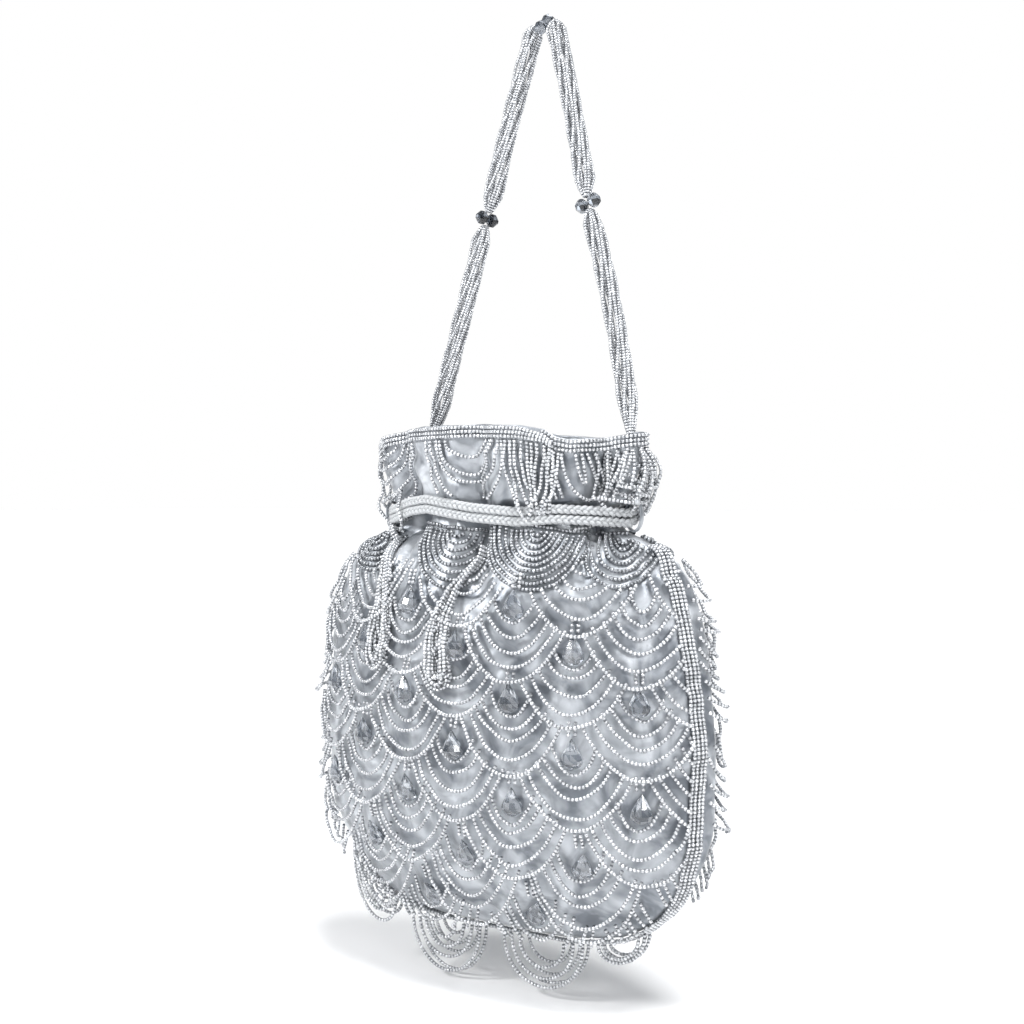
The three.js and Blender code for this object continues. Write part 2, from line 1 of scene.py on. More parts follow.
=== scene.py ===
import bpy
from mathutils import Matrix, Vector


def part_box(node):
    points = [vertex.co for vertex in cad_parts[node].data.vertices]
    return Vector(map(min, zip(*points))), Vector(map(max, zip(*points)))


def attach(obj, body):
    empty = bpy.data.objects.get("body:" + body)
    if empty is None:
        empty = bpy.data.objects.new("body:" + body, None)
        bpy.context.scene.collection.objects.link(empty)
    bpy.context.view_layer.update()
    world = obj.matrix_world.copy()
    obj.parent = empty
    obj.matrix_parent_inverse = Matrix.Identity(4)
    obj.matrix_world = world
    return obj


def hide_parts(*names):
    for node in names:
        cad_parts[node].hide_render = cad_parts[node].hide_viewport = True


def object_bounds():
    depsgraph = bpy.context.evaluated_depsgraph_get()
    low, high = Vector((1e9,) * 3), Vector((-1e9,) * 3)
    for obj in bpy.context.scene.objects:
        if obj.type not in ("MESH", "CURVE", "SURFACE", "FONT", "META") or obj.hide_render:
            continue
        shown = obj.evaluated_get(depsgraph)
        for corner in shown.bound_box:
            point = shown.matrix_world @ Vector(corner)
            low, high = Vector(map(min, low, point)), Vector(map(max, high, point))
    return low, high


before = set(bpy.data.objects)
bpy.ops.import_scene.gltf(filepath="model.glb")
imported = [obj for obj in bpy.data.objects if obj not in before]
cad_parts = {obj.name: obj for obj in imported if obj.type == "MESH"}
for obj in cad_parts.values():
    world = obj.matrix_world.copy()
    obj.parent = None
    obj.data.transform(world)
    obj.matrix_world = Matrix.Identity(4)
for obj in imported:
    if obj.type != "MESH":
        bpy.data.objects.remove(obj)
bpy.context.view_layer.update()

import math

import bpy
import numpy as np

scene = bpy.context.scene
chance = np.random.default_rng(7)

# Pouch
# Two panels of silver-grey satin sewn together round a wide belly. The drawstring gathers the neck into three
# deep folds on each panel, and above it the cloth stands up as a collar. The cloth is woven satin about 1.2 mm
# thick with its backing, laid over the CAD solid's own sections.
pouch_low, pouch_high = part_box("pouch")
MM = 0.001
CENTRE_X = (pouch_low[0] + pouch_high[0]) / 2
CENTRE_Y = (pouch_low[1] + pouch_high[1]) / 2
CORD_LEVEL = pouch_high[2] - 32 * MM
BELLY_HALF_WIDTH = (pouch_high[0] - pouch_low[0]) / 2
BELLY_HALF_DEPTH = (pouch_high[1] - pouch_low[1]) / 2
COLLAR_HEIGHT = pouch_high[2] - CORD_LEVEL
BODY_DEPTH = CORD_LEVEL - pouch_low[2]
FOLD_DEPTH = 6.5 * MM
SIDE_ROUNDNESS = 1.312
CLOTH_THICKNESS = 1.2 * MM

# Sections of the pouch: level 1 at the rim, 0 at the drawstring and -1 at the bottom seam, sizes as shares
SECTIONS = [
    (1.0, 0.68, 0.72, 0.75), (0.8, 0.675, 0.71, 0.75), (0.58, 0.66, 0.69, 0.8), (0.36, 0.63, 0.66, 0.9),
    (0.187, 0.605, 0.64, 1.0), (-0.04, 0.605, 0.64, 1.0), (-0.08, 0.77, 0.74, 0.9), (-0.135, 0.87, 0.84, 0.6),
    (-0.21, 0.93, 0.92, 0.33), (-0.3, 0.962, 0.97, 0.15), (-0.4, 0.985, 1.0, 0.05), (-0.51, 1.0, 1.0, 0.0),
    (-0.62, 1.0, 0.95, 0.0), (-0.71, 0.99, 0.87, 0.0), (-0.79, 0.94, 0.73, 0.0), (-0.86, 0.86, 0.58, 0.0),
    (-0.915, 0.755, 0.43, 0.0), (-0.955, 0.655, 0.3, 0.0), (-0.982, 0.53, 0.18, 0.0), (-1.0, 0.32, 0.02, 0.0),
]
GATHERS = [(-0.6, 0.22, 0.9), (0.02, 0.18, 1.0), (0.8, 0.2, 0.9)]
level_list, width_list, depth_list, fold_list = (np.array(column[::-1]) for column in zip(*SECTIONS))


def smooth(levels, values):
    """A rounded line through the sections' values."""
    slopes = np.gradient(values, level_list)
    spot = np.clip(np.searchsorted(level_list, levels) - 1, 0, len(level_list) - 2)
    gap = level_list[spot + 1] - level_list[spot]
    part = (np.clip(levels, -1, 1) - level_list[spot]) / gap
    low = values[spot] * (1 + 2 * part) * (1 - part) ** 2 + values[spot + 1] * part ** 2 * (3 - 2 * part)
    return low + gap * part * (1 - part) * (slopes[spot] * (1 - part) - slopes[spot + 1] * part)


LEVEL_ROWS = np.linspace(-1, 1, 321)
SHARE_ROWS = np.linspace(-1, 1, 241)


def fold_at(share):
    """How far the gathers pull in, as a share of their depth."""
    pull = np.zeros_like(share)
    for place, spread, depth in GATHERS:
        off = np.minimum(np.abs(share - place) / spread, 1)
        pull += depth * ((1 + np.cos(math.pi * off)) / 2) ** 1.5
    return pull


# Height of the rim in millimetres, by place from the left seam to the right: on the front it dips where the
# collar overlaps, and it is lowest at the left seam
RIM_PLACES = [-1, -0.93, -0.8, -0.6, 0, 0.3, 0.44, 0.5, 0.58, 0.8, 1]
FRONT_RIM = [24.8, 27.0, 29.6, 31.4, 32.0, 31.2, 29.6, 27.0, 25.9, 27.0, 28.8]
BACK_RIM = [24.8, 25.6, 27.4, 30.0, 30.6, 29.2, 28.4, 28.2, 28.1, 28.2, 28.8]


def rim_height(share, side):
    """Height of the rim above the drawstring."""
    return np.interp(share, RIM_PLACES, FRONT_RIM if side < 0 else BACK_RIM) * MM


ROW_DROPS = [-0.105, 0.203, 0.297, 0.407, 0.522, 0.638, 0.772, 0.905]
COLUMN_PITCH = 0.2646 * BELLY_HALF_WIDTH
# Deep creases under the cord where the gathers close: place across and height, in millimetres
CREASES = [(-31, -13), (1.8, -10), (44, -10)]


def pucker(across, height):
    """Relief of satin drawn up by what is sewn to it: puffs between the strings, creases, gathers at the neck."""
    row = np.interp(-height / BODY_DEPTH, ROW_DROPS, range(len(ROW_DROPS)))
    puff = np.cos(math.pi * across / COLUMN_PITCH) * np.cos(math.pi * row) * np.clip(-height / (30 * MM), 0, 1)
    wave = np.sin(across * 260 + 2.1 * np.sin(height * 170)) * np.sin(height * 230 + 1.7 * np.sin(across * 190))
    crease = np.sin(across * 610 + height * 420 + 2.0 * np.sin(height * 300))
    cross_crease = np.sin(across * 470 - height * 690 + 1.6 * np.sin(across * 330))
    neck = np.exp(-np.abs(height + 4 * MM) / (16 * MM))
    gathers = 1 - np.abs(np.sin(across * 235 + 1.4 * np.sin(across * 90) + 0.8 * np.sin(height * 120)))
    collar = np.clip(height / (12 * MM), 0, 1) * np.sin(height * 520 + across * 260 + np.sin(across * 170))
    relief = (0.65 * puff + 0.45 * wave + 0.2 * crease + 0.15 * cross_crease
              + 1.5 * gathers * neck + 0.4 * collar) * MM
    for place, middle in CREASES:
        off = ((across - place * MM) / (2.0 * MM)) ** 2 + ((height - middle * MM) / (7 * MM)) ** 2
        relief = relief - 4.2 * MM * np.exp(-off)
    return relief


def lay_cloth(side):
    """Places, outward normals and half lengths of one panel on a grid of levels and shares."""
    turn = np.linspace(-math.pi / 2, math.pi / 2, 721)
    place = np.zeros((len(LEVEL_ROWS), len(SHARE_ROWS), 3))
    normal = np.zeros_like(place)
    half = np.zeros(len(LEVEL_ROWS))
    wide = smooth(LEVEL_ROWS, width_list) * BELLY_HALF_WIDTH
    deep = smooth(LEVEL_ROWS, depth_list) * BELLY_HALF_DEPTH
    gathered = np.clip(smooth(LEVEL_ROWS, fold_list), 0, 1)
    for row, level in enumerate(LEVEL_ROWS):
        across = wide[row] * np.sin(turn)
        out = deep[row] * np.maximum(np.cos(turn), 0) ** SIDE_ROUNDNESS
        length = np.concatenate([[0], np.cumsum(np.hypot(np.diff(across), np.diff(out)))])
        half[row] = length[-1] / 2
        x = np.interp((SHARE_ROWS + 1) * half[row], length, across)
        y = np.interp((SHARE_ROWS + 1) * half[row], length, out)
        course_x, course_y = np.gradient(x), np.gradient(y)
        size = np.hypot(course_x, course_y) + 1e-12
        normal_x, normal_y = -course_y / size, course_x / size
        pull = FOLD_DEPTH * gathered[row] * fold_at(SHARE_ROWS)
        rim = rim_height(SHARE_ROWS, side)
        place[row, :, 0] = x - normal_x * pull
        place[row, :, 1] = y - normal_y * pull
        place[row, :, 2] = level * (rim if level > 0 else BODY_DEPTH)
    along = np.gradient(place, axis=1)
    up = np.gradient(place, axis=0)
    normal = np.cross(up, along)
    normal /= np.linalg.norm(normal, axis=2, keepdims=True) + 1e-12
    edge = np.clip((1 - np.abs(SHARE_ROWS)) * 14, 0, 1) * np.clip((1 - np.abs(LEVEL_ROWS[:, None])) * 16, 0, 1)
    relief = pucker(SHARE_ROWS * half[:, None], place[:, :, 2] + 0 * SHARE_ROWS)
    place += normal * (relief * edge)[:, :, None]
    return place, normal, half


front_place, front_normal, cloth_half = lay_cloth(-1)
back_place, back_normal, cloth_half = lay_cloth(1)
cloth_place = {-1: front_place, 1: back_place}
cloth_normal = {-1: front_normal, 1: back_normal}


def half_length(level):
    """Half the length of a panel across, at a level."""
    return np.interp(level, LEVEL_ROWS, cloth_half)


def level_of(height):
    """The level of a height above the drawstring, in metres."""
    height = np.asarray(height, float)
    return np.where(height > 0, height / (30 * MM), height / BODY_DEPTH)


def on_cloth(across, level, lift=0.0, side=-1):
    """Points on a panel, lifted off the cloth; side is -1 on the front and 1 on the back.

    A place past the edge of one panel lies on the other.
    """
    across, level = np.broadcast_arrays(np.asarray(across, float), np.asarray(level, float))
    share = across / half_length(level)
    past = np.abs(share) > 1
    share = np.where(past, np.sign(share) * (2 - np.abs(share)), share)
    face = np.where(past, -side, side)[..., None]
    row = (np.clip(level, -1, 1) + 1) / 2 * (len(LEVEL_ROWS) - 1)
    column = (np.clip(share, -1, 1) + 1) / 2 * (len(SHARE_ROWS) - 1)
    row_low = np.clip(row.astype(int), 0, len(LEVEL_ROWS) - 2)
    column_low = np.clip(column.astype(int), 0, len(SHARE_ROWS) - 2)
    down, beside = (row - row_low)[..., None], (column - column_low)[..., None]

    def blend(grids):
        mixed = {}
        for panel, grid in grids.items():
            low = grid[row_low, column_low] * (1 - beside) + grid[row_low, column_low + 1] * beside
            high = grid[row_low + 1, column_low] * (1 - beside) + grid[row_low + 1, column_low + 1] * beside
            mixed[panel] = low * (1 - down) + high * down
        return np.where(face < 0, mixed[-1], mixed[1])

    normal = blend(cloth_normal)
    normal /= np.linalg.norm(normal, axis=-1, keepdims=True) + 1e-12
    point = blend(cloth_place) + normal * np.asarray(lift)[..., None]
    point[..., 1] *= face[..., 0]
    return point + np.array([CENTRE_X, CENTRE_Y, CORD_LEVEL])


def finish_piece(piece, slot_name, *nodes):
    """Puts a finished piece on the bag and hides the CAD nodes it stands for; slot_name is not used."""
    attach(piece, "root")
    if nodes:
        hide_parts(*nodes)


def satin_material():
    """Silver-grey satin: long smooth floats that shine, over a fine weave, with patches of painted sheen and painted
    shade across its colour.
    """
    material = bpy.data.materials.new("silver_satin")
    material.use_nodes = True
    nodes, links = material.node_tree.nodes, material.node_tree.links
    shader = nodes["Principled BSDF"]
    shader.inputs["Metallic"].default_value = 0.35
    shader.inputs["Sheen Weight"].default_value = 0.35
    shader.inputs["Sheen Roughness"].default_value = 0.4
    uv = nodes.new("ShaderNodeUVMap")
    uv.uv_map = "UVMap"
    weave = nodes.new("ShaderNodeMapping")
    weave.inputs["Scale"].default_value = (560, 620, 1)
    links.new(uv.outputs["UV"], weave.inputs["Vector"])
    threads = nodes.new("ShaderNodeTexWave")
    threads.wave_type = "BANDS"
    threads.bands_direction = "DIAGONAL"
    threads.inputs["Scale"].default_value = 1.0
    threads.inputs["Distortion"].default_value = 1.2
    links.new(weave.outputs["Vector"], threads.inputs["Vector"])
    place = nodes.new("ShaderNodeTexCoord")
    # Painted sheen and painted shade: a noise lays light and dark patches into the satin's base colour, and also
    # varies its gloss.
    painted_sheen_and_gloss_noise = nodes.new("ShaderNodeTexNoise")
    painted_sheen_and_gloss_noise.inputs["Scale"].default_value = 70
    painted_sheen_and_gloss_noise.inputs["Detail"].default_value = 3
    painted_sheen_and_gloss_noise.inputs["Distortion"].default_value = 1.1
    links.new(place.outputs["Object"], painted_sheen_and_gloss_noise.inputs["Vector"])
    # The ramp from dark to light grey is the colour of this painted shade and painted sheen.
    tint = nodes.new("ShaderNodeValToRGB")
    tint.color_ramp.elements[0].position = 0.36
    tint.color_ramp.elements[0].color = (0.155, 0.172, 0.197, 1)
    tint.color_ramp.elements[1].position = 0.66
    tint.color_ramp.elements[1].color = (0.57, 0.595, 0.63, 1)
    links.new(painted_sheen_and_gloss_noise.outputs["Fac"], tint.inputs["Fac"])
    links.new(tint.outputs["Color"], shader.inputs["Base Color"])
    gloss = nodes.new("ShaderNodeMapRange")
    gloss.inputs["To Min"].default_value = 0.24
    gloss.inputs["To Max"].default_value = 0.42
    links.new(painted_sheen_and_gloss_noise.outputs["Fac"], gloss.inputs["Value"])
    links.new(gloss.outputs["Result"], shader.inputs["Roughness"])
    bump = nodes.new("ShaderNodeBump")
    bump.inputs["Strength"].default_value = 0.12
    bump.inputs["Distance"].default_value = 0.0002
    links.new(threads.outputs["Fac"], bump.inputs["Height"])
    links.new(bump.outputs["Normal"], shader.inputs["Normal"])
    return material


satin = satin_material()


def cloth_panel(side):
    """One panel: a flat grid laid over the sections, its UV map running across and up the cloth."""
    bpy.ops.object.select_all(action="DESELECT")
    bpy.ops.mesh.primitive_grid_add(x_subdivisions=142, y_subdivisions=160, size=2, calc_uvs=True)
    panel = bpy.context.active_object
    flat = np.array([vertex.co[:] for vertex in panel.data.vertices])
    level = flat[:, 1]
    across = flat[:, 0] * half_length(level)
    point = on_cloth(across, level, 0.0, side)
    panel.data.vertices.foreach_set("co", point.ravel())
    if side > 0:
        panel.data.flip_normals()
    return panel


front_panel, back_panel = cloth_panel(-1), cloth_panel(1)
bpy.ops.object.select_all(action="DESELECT")
front_panel.select_set(True)
back_panel.select_set(True)
bpy.context.view_layer.objects.active = front_panel
bpy.ops.object.join()
pouch = front_panel
pouch.name = "satin_pouch"
bpy.ops.object.mode_set(mode="EDIT")
bpy.ops.mesh.select_all(action="SELECT")
bpy.ops.mesh.remove_doubles(threshold=0.05 * MM)
bpy.ops.object.mode_set(mode="OBJECT")
wall = pouch.modifiers.new("wall", "SOLIDIFY")
wall.thickness = CLOTH_THICKNESS
wall.offset = -1
bpy.ops.object.modifier_apply(modifier="wall")
bpy.ops.object.shade_smooth()
pouch.data.materials.clear()
pouch.data.materials.append(satin)
finish_piece(pouch, "satin", "pouch")

# Strings of seed beads on the panels
# Silver-lined glass seed beads of size 11, threaded on strings and sewn to the satin at their ends. The strings
# hang in nested swags, five to a scallop, and the scallops overlap like fish scales from the neck down.
BEAD_LENGTH = 1.34 * MM
BEAD_WIDTH = 1.42 * MM


def bead_model():
    """One seed bead along Z, half a unit long each way: a short barrel with dimpled ends."""
    bpy.ops.object.select_all(action="DESELECT")
    bpy.ops.mesh.primitive_uv_sphere_add(segments=6, ring_count=4, radius=1)
    model = bpy.context.active_object
    points = np.array([vertex.co[:] for vertex in model.data.vertices])
    faces = [list(polygon.vertices) for polygon in model.data.polygons]
    height = points[:, 2].copy()
    shoulder = (np.abs(height) > 0.4) & (np.abs(height) < 0.9)
    points[shoulder, :2] *= 0.84 / np.linalg.norm(points[shoulder, :2], axis=1, keepdims=True)
    points[shoulder, 2] = np.sign(height[shoulder]) * 0.9
    points[np.abs(height) > 0.9, 2] = np.sign(height[np.abs(height) > 0.9]) * 0.88
    # bead_shade is painted shade: 0 at the dimpled ends, half at the shoulders, 1 round the middle.
    shade = np.where(np.abs(height) > 0.9, 0.0, np.where(shoulder, 0.5, 1.0))
    bpy.data.objects.remove(model)
    return points, faces, shade


bead_points, bead_faces, bead_shade = bead_model()


def spaced(line, pitch):
    """Bead places and courses along a line of points, a pitch apart."""
    steps = np.linalg.norm(np.diff(line, axis=0), axis=1)
    length = np.concatenate([[0], np.cumsum(steps)])
    count = max(int(length[-1] / pitch), 1)
    wanted = (np.arange(count) + 0.5) * length[-1] / count
    places = np.stack([np.interp(wanted, length, line[:, axis]) for axis in range(3)], axis=1)
    ahead = np.stack([np.interp(wanted + pitch / 2, length, line[:, axis]) for axis in range(3)], axis=1)
    behind = np.stack([np.interp(wanted - pitch / 2, length, line[:, axis]) for axis in range(3)], axis=1)
    courses = ahead - behind
    courses /= np.linalg.norm(courses, axis=1, keepdims=True) + 1e-12
    return places, courses


def thread_beads(name, lines, material, slot_name, nodes=(), width=BEAD_WIDTH, length=BEAD_LENGTH):
    """One piece from strings of beads: a copy of the bead at every pitch of every line."""
    placed = [spaced(line, length) for line in lines if len(line) > 1]
    places = np.concatenate([pair[0] for pair in placed])
    courses = np.concatenate([pair[1] for pair in placed])
    count = len(places)
    helper = np.where(np.abs(courses[:, [2]]) < 0.9, [[0.0, 0.0, 1.0]], [[1.0, 0.0, 0.0]])
    side = np.cross(helper, courses)
    side /= np.linalg.norm(side, axis=1, keepdims=True)
    other = np.cross(courses, side)
    spin = chance.uniform(0, math.tau, count)[:, None]
    first = side * np.cos(spin) + other * np.sin(spin)
    second = np.cross(courses, first)
    girth = chance.uniform(0.9, 1.07, count)[:, None, None] * width / 2
    reach = chance.uniform(0.95, 1.05, count)[:, None, None] * length / 2
    shape = (
        first[:, None, :] * bead_points[None, :, [0]] * girth
        + second[:, None, :] * bead_points[None, :, [1]] * girth
        + courses[:, None, :] * bead_points[None, :, [2]] * reach
    )
    points = (places[:, None, :] + shape).reshape(-1, 3)
    mesh = bpy.data.meshes.new(name)
    corners = np.concatenate([np.array(face) for face in bead_faces])
    sizes = np.array([len(face) for face in bead_faces])
    offsets = np.arange(count)[:, None] * len(bead_points)
    all_corners = (corners[None, :] + offsets).ravel()
    all_sizes = np.tile(sizes, count)
    mesh.vertices.add(len(points))
    mesh.vertices.foreach_set("co", points.ravel())
    mesh.loops.add(len(all_corners))
    mesh.loops.foreach_set("vertex_index", all_corners)
    mesh.polygons.add(len(all_sizes))
    starts = np.concatenate([[0], np.cumsum(all_sizes)[:-1]])
    mesh.polygons.foreach_set("loop_start", starts)
    mesh.polygons.foreach_set("use_smooth", np.ones(len(all_sizes), bool))
    mesh.update(calc_edges=True)
    tone = mesh.attributes.new("bead_tone", "FLOAT", "POINT")
    tone.data.foreach_set("value", np.repeat(chance.uniform(0, 1, count), len(bead_points)).astype(np.float32))
    shade = mesh.attributes.new("bead_shade", "FLOAT", "POINT")
    shade.data.foreach_set("value", np.tile(bead_shade, count).astype(np.float32))
    mesh.validate()
    piece = bpy.data.objects.new(name, mesh)
    scene.collection.objects.link(piece)
    mesh.materials.append(material)
    finish_piece(piece, slot_name, *nodes)
    return piece


def bead_tone_and_painted_shade_group():
    """Colour and gloss of the seed beads: painted shade darkens each bead towards its holes and leaves its middle
    bright, and the tone differs at random so that no two are quite alike.
    """
    group = bpy.data.node_groups.new("bead_tone_and_painted_shade", "ShaderNodeTree")
    for name, kind in (("Dark", "NodeSocketColor"), ("Bright", "NodeSocketColor"), ("Spread", "NodeSocketFloat")):
        group.interface.new_socket(name, in_out="INPUT", socket_type=kind)
    group.interface.new_socket("Color", in_out="OUTPUT", socket_type="NodeSocketColor")
    group.interface.new_socket("Roughness", in_out="OUTPUT", socket_type="NodeSocketFloat")
    nodes, links = group.nodes, group.links
    given, made = nodes.new("NodeGroupInput"), nodes.new("NodeGroupOutput")
    tone = nodes.new("ShaderNodeAttribute")
    tone.attribute_name = "bead_tone"
    shade = nodes.new("ShaderNodeAttribute")
    shade.attribute_name = "bead_shade"
    swing = nodes.new("ShaderNodeMath")
    swing.operation = "MULTIPLY"
    links.new(tone.outputs["Fac"], swing.inputs[0])
    links.new(given.outputs["Spread"], swing.inputs[1])
    # Painted shade: the colour goes from Dark at the holes to Bright round the middle, less a random part.
    lit = nodes.new("ShaderNodeMath")
    lit.operation = "SUBTRACT"
    lit.use_clamp = True
    links.new(shade.outputs["Fac"], lit.inputs[0])
    links.new(swing.outputs[0], lit.inputs[1])
    mix = nodes.new("ShaderNodeMix")
    mix.data_type = "RGBA"
    links.new(lit.outputs[0], mix.inputs["Factor"])
    links.new(given.outputs["Dark"], mix.inputs[6])
    links.new(given.outputs["Bright"], mix.inputs[7])
    links.new(mix.outputs[2], made.inputs["Color"])
    rough = nodes.new("ShaderNodeMapRange")
    rough.inputs["To Min"].default_value = 0.12
    rough.inputs["To Max"].default_value = 0.32
    links.new(tone.outputs["Fac"], rough.inputs["Value"])
    links.new(rough.outputs["Result"], made.inputs["Roughness"])
    return group


bead_tone_and_painted_shade = bead_tone_and_painted_shade_group()


def bead_material(name, dark, bright, spread):
    """A seed bead's glass over its silver lining, its colour darkened towards the holes by painted shade."""
    material = bpy.data.materials.new(name)
    material.use_nodes = True
    nodes, links = material.node_tree.nodes, material.node_tree.links
    shader = nodes["Principled BSDF"]
    shader.inputs["Metallic"].default_value = 0.45
    shader.inputs["Coat Weight"].default_value = 0.6
    shader.inputs["Coat Roughness"].default_value = 0.08
    finish = nodes.new("ShaderNodeGroup")
    finish.node_tree = bead_tone_and_painted_shade
    finish.inputs["Dark"].default_value = dark
    finish.inputs["Bright"].default_value = bright
    finish.inputs["Spread"].default_value = spread
    links.new(finish.outputs["Color"], shader.inputs["Base Color"])
    links.new(finish.outputs["Roughness"], shader.inputs["Roughness"])
    return material


# Dark is the colour of the painted shade at each bead's holes, and Bright is the colour of its middle.
silver_beads = bead_material("silver_lined_beads", (0.12, 0.131, 0.148, 1), (0.86, 0.875, 0.9, 1), 0.4)
grey_beads = bead_material("grey_lined_beads", (0.05, 0.057, 0.068, 1), (0.6, 0.62, 0.65, 1), 0.5)

# Swags of a scallop: half width, bottom below the drop's middle, how far the string's middle stands off the cloth
SWAGS = [(8.4, 6.6, 0.8), (12.0, 10.6, 1.2), (15.6, 15.3, 1.7), (19.0, 20.8, 2.3), (21.8, 25.8, 3.0)]
INNER_SWAG = (5.2, 2.4, 0.6)
SWAG_TOP = 6 * MM


# Row and columns of the scallops that hold a glass drop
DROP_PLACES = [(1, (-1, 1)), (2, (-2, 0, 2)), (3, (-3, -1, 1, 3)), (4, (-2, 0, 2)), (5, (-3, -1, 1, 3)),
               (6, (-2, 0, 2)), (7, (-1, 1))]
DROP_SITES = [(row, column) for row, columns in DROP_PLACES for column in columns]


def scallop_sites():
    """Row and column of every scallop on a panel; the columns of each row lie between those of the next."""
    for row, drop in enumerate(ROW_DROPS):
        for column in range(-4, 5):
            if (row + column) % 2 == 0:
                yield row, column, -drop * BODY_DEPTH if row else -14 * MM


# Half discs under the drawstring: middle and height of the straight top in millimetres, its slope, rows of
# beads, and how far the rows run straight down before they turn
DISCS = [(-54, -8.0, 0.0, 7, 0.0), (-7.5, -6.4, -0.1, 8, 4.2), (24, -6.0, -0.11, 10, 0.6), (56, -8.2, -0.04, 7, 3.0)]
DISC_ROW_GAP = 1.88 * MM


def covered(across, height, row, column):
    """Whether a point lies under a half disc, or under the outermost string of a scallop in the row above."""
    if row == 0:
        hidden = np.zeros(len(across), bool)
        for middle, top, slope, rows, leg in DISCS:
            below = np.minimum(height - (top - leg) * MM, 0)
            hidden |= np.hypot(across - middle * MM, below) < (rows + 0.3) * DISC_ROW_GAP
        return hidden
    above = -ROW_DROPS[row - 1] * BODY_DEPTH if row > 1 else -14 * MM
    hidden = np.zeros(len(across), bool)
    reach, bottom = SWAGS[-1][0] * MM, SWAGS[-1][1] * MM
    for neighbour in (column - 1, column + 1):
        off = (across - neighbour * COLUMN_PITCH) / (reach - 0.6 * MM)
        edge = above + SWAG_TOP - (bottom + SWAG_TOP - 1.2 * MM) * np.clip(1 - off ** 2, 0, 1) ** 0.66
        hidden |= (np.abs(off) < 1) & (height > edge)
    return hidden


# How far the right seam lies on to the front from the edge, and the left seam on to the back, by drop as a
# share of the body's depth
SETBACK_DROPS = [0.08, 0.135, 0.21, 0.3, 0.4, 0.51, 0.62, 0.71, 0.79, 0.86, 0.915]
SETBACK_SHARES = [0.4, 0.85, 1.0, 1.05, 0.95, 0.96, 1, 1, 0.75, 0.3, 0]
SEAM_SETBACK = 7.5 * MM
SEAM_HALF_WIDTH = 2.4 * MM
FREE_HANG = 0.5


def seam_setback(level):
    """How far a side seam lies from the edge of the panel, at a level."""
    return np.interp(-level, SETBACK_DROPS, SETBACK_SHARES) * SEAM_SETBACK


def hang_points(across, height, top, lift, free, side):
    """Points of a string: on the cloth where it swells out below, and partly free where it draws in."""
    lying = on_cloth(across, level_of(height), lift, side)
    above = on_cloth(across, level_of(np.full(len(across), top)), lift, side)
    away = above - lying
    away[:, 2] = 0
    outward = lying - np.array([CENTRE_X, CENTRE_Y, 0])
    outward[:, 2] = 0
    falls_clear = (away * outward).sum(axis=1) > 0
    return lying + away * (falls_clear * free)[:, None]


def swag_lines(side):
    """The strings of every scallop on a panel, cut where a scallop above hides them."""
    lines = []
    turn = np.linspace(0, math.pi, 90)
    for row, column, middle in scallop_sites():
        lean = chance.normal(0, 0.7) * MM
        for reach, bottom, stand in SWAGS if (row, column) in DROP_SITES else [INNER_SWAG, *SWAGS]:
            reach = reach * MM * chance.normal(1, 0.03)
            bottom = (bottom + chance.normal(0, 0.6)) * MM
            ripple = chance.uniform(0.1, 0.35) * MM * np.sin(turn * chance.uniform(4, 9) + chance.uniform(0, 6))
            across = column * COLUMN_PITCH - reach * np.cos(turn) + lean * np.sin(turn)
            height = middle + SWAG_TOP - (bottom + SWAG_TOP) * np.sin(turn) ** 1.32 + ripple
            level = level_of(height)
            right_edge = half_length(level) + side * seam_setback(level) - SEAM_HALF_WIDTH
            left_edge = side * seam_setback(level) - half_length(level) + SEAM_HALF_WIDTH
            kept = ~covered(across, height, row, column)
            kept &= (across > left_edge) & (across < right_edge)
            kept &= (height < -16 * MM) & (level > -0.985)
            edge = np.clip((np.abs(across) / half_length(level) - 0.84) / 0.16, 0, 1)
            stand = stand * chance.uniform(0.8, 1.4) + edge * chance.uniform(0.2, 1.8)
            lift = 1.0 * MM + stand * MM * np.sin(turn) ** 1.5
            free = FREE_HANG * np.sin(turn) * chance.uniform(0.7, 1.2)
            points = hang_points(across, height, middle + SWAG_TOP, lift, free, side)
            starts = np.flatnonzero(np.diff(np.concatenate([[0], kept.astype(int), [0]])))
            for first, last in zip(starts[::2], starts[1::2]):
                if last - first > 4:
                    lines.append(points[first:last])
    return lines


thread_beads("swags_front", swag_lines(-1), silver_beads, "seed_beads")
thread_beads("swags_back", swag_lines(1), silver_beads, "seed_beads")

# Half discs under the drawstring
# Fans of seven to ten concentric rows of seed beads, sewn flat to the satin between the gathers, each closed
# along its top by a straight row.


def disc_lines(side):
    """Concentric half rings of beads round each disc's middle, and its straight top row."""
    lines = []
    turn = np.linspace(0, math.pi, 60)
    for middle, top, slope, rows, leg in DISCS:
        for row in range(1, rows + 1):
            radius = row * DISC_ROW_GAP
            run = leg * MM * (row / rows) ** 1.5
            across = middle * MM - radius * np.cos(turn)
            across = np.concatenate([across[[0] * 8], across, across[[-1] * 8]])
            height = np.concatenate([np.linspace(0, run, 8), run + radius * np.sin(turn), np.linspace(run, 0, 8)])
            height = top * MM - height + slope * (across - middle * MM)
            level = level_of(height)
            kept = np.abs(across) < half_length(level) + side * seam_setback(level) * np.sign(across) - 2 * MM
            lines.append(on_cloth(across, level, 0.85 * MM, side)[kept])
        across = np.linspace(middle * MM - rows * DISC_ROW_GAP, middle * MM + rows * DISC_ROW_GAP, 50)
        level = level_of((top + 1.3) * MM + slope * (across - middle * MM))
        kept = np.abs(across) < half_length(level) - 2 * MM
        lines.append(on_cloth(across, level, 0.85 * MM, side)[kept])
    return [line for line in lines if len(line) > 2]


thread_beads("half_discs_front", disc_lines(-1), grey_beads, "seed_beads")
thread_beads("half_discs_back", disc_lines(1), grey_beads, "seed_beads")

# Cut glass drops
# Smoky glass teardrops cut with long facets above and small ones round the foot, each hung by two short strings
# of beads. A finer cut stands in each CAD solid's place.


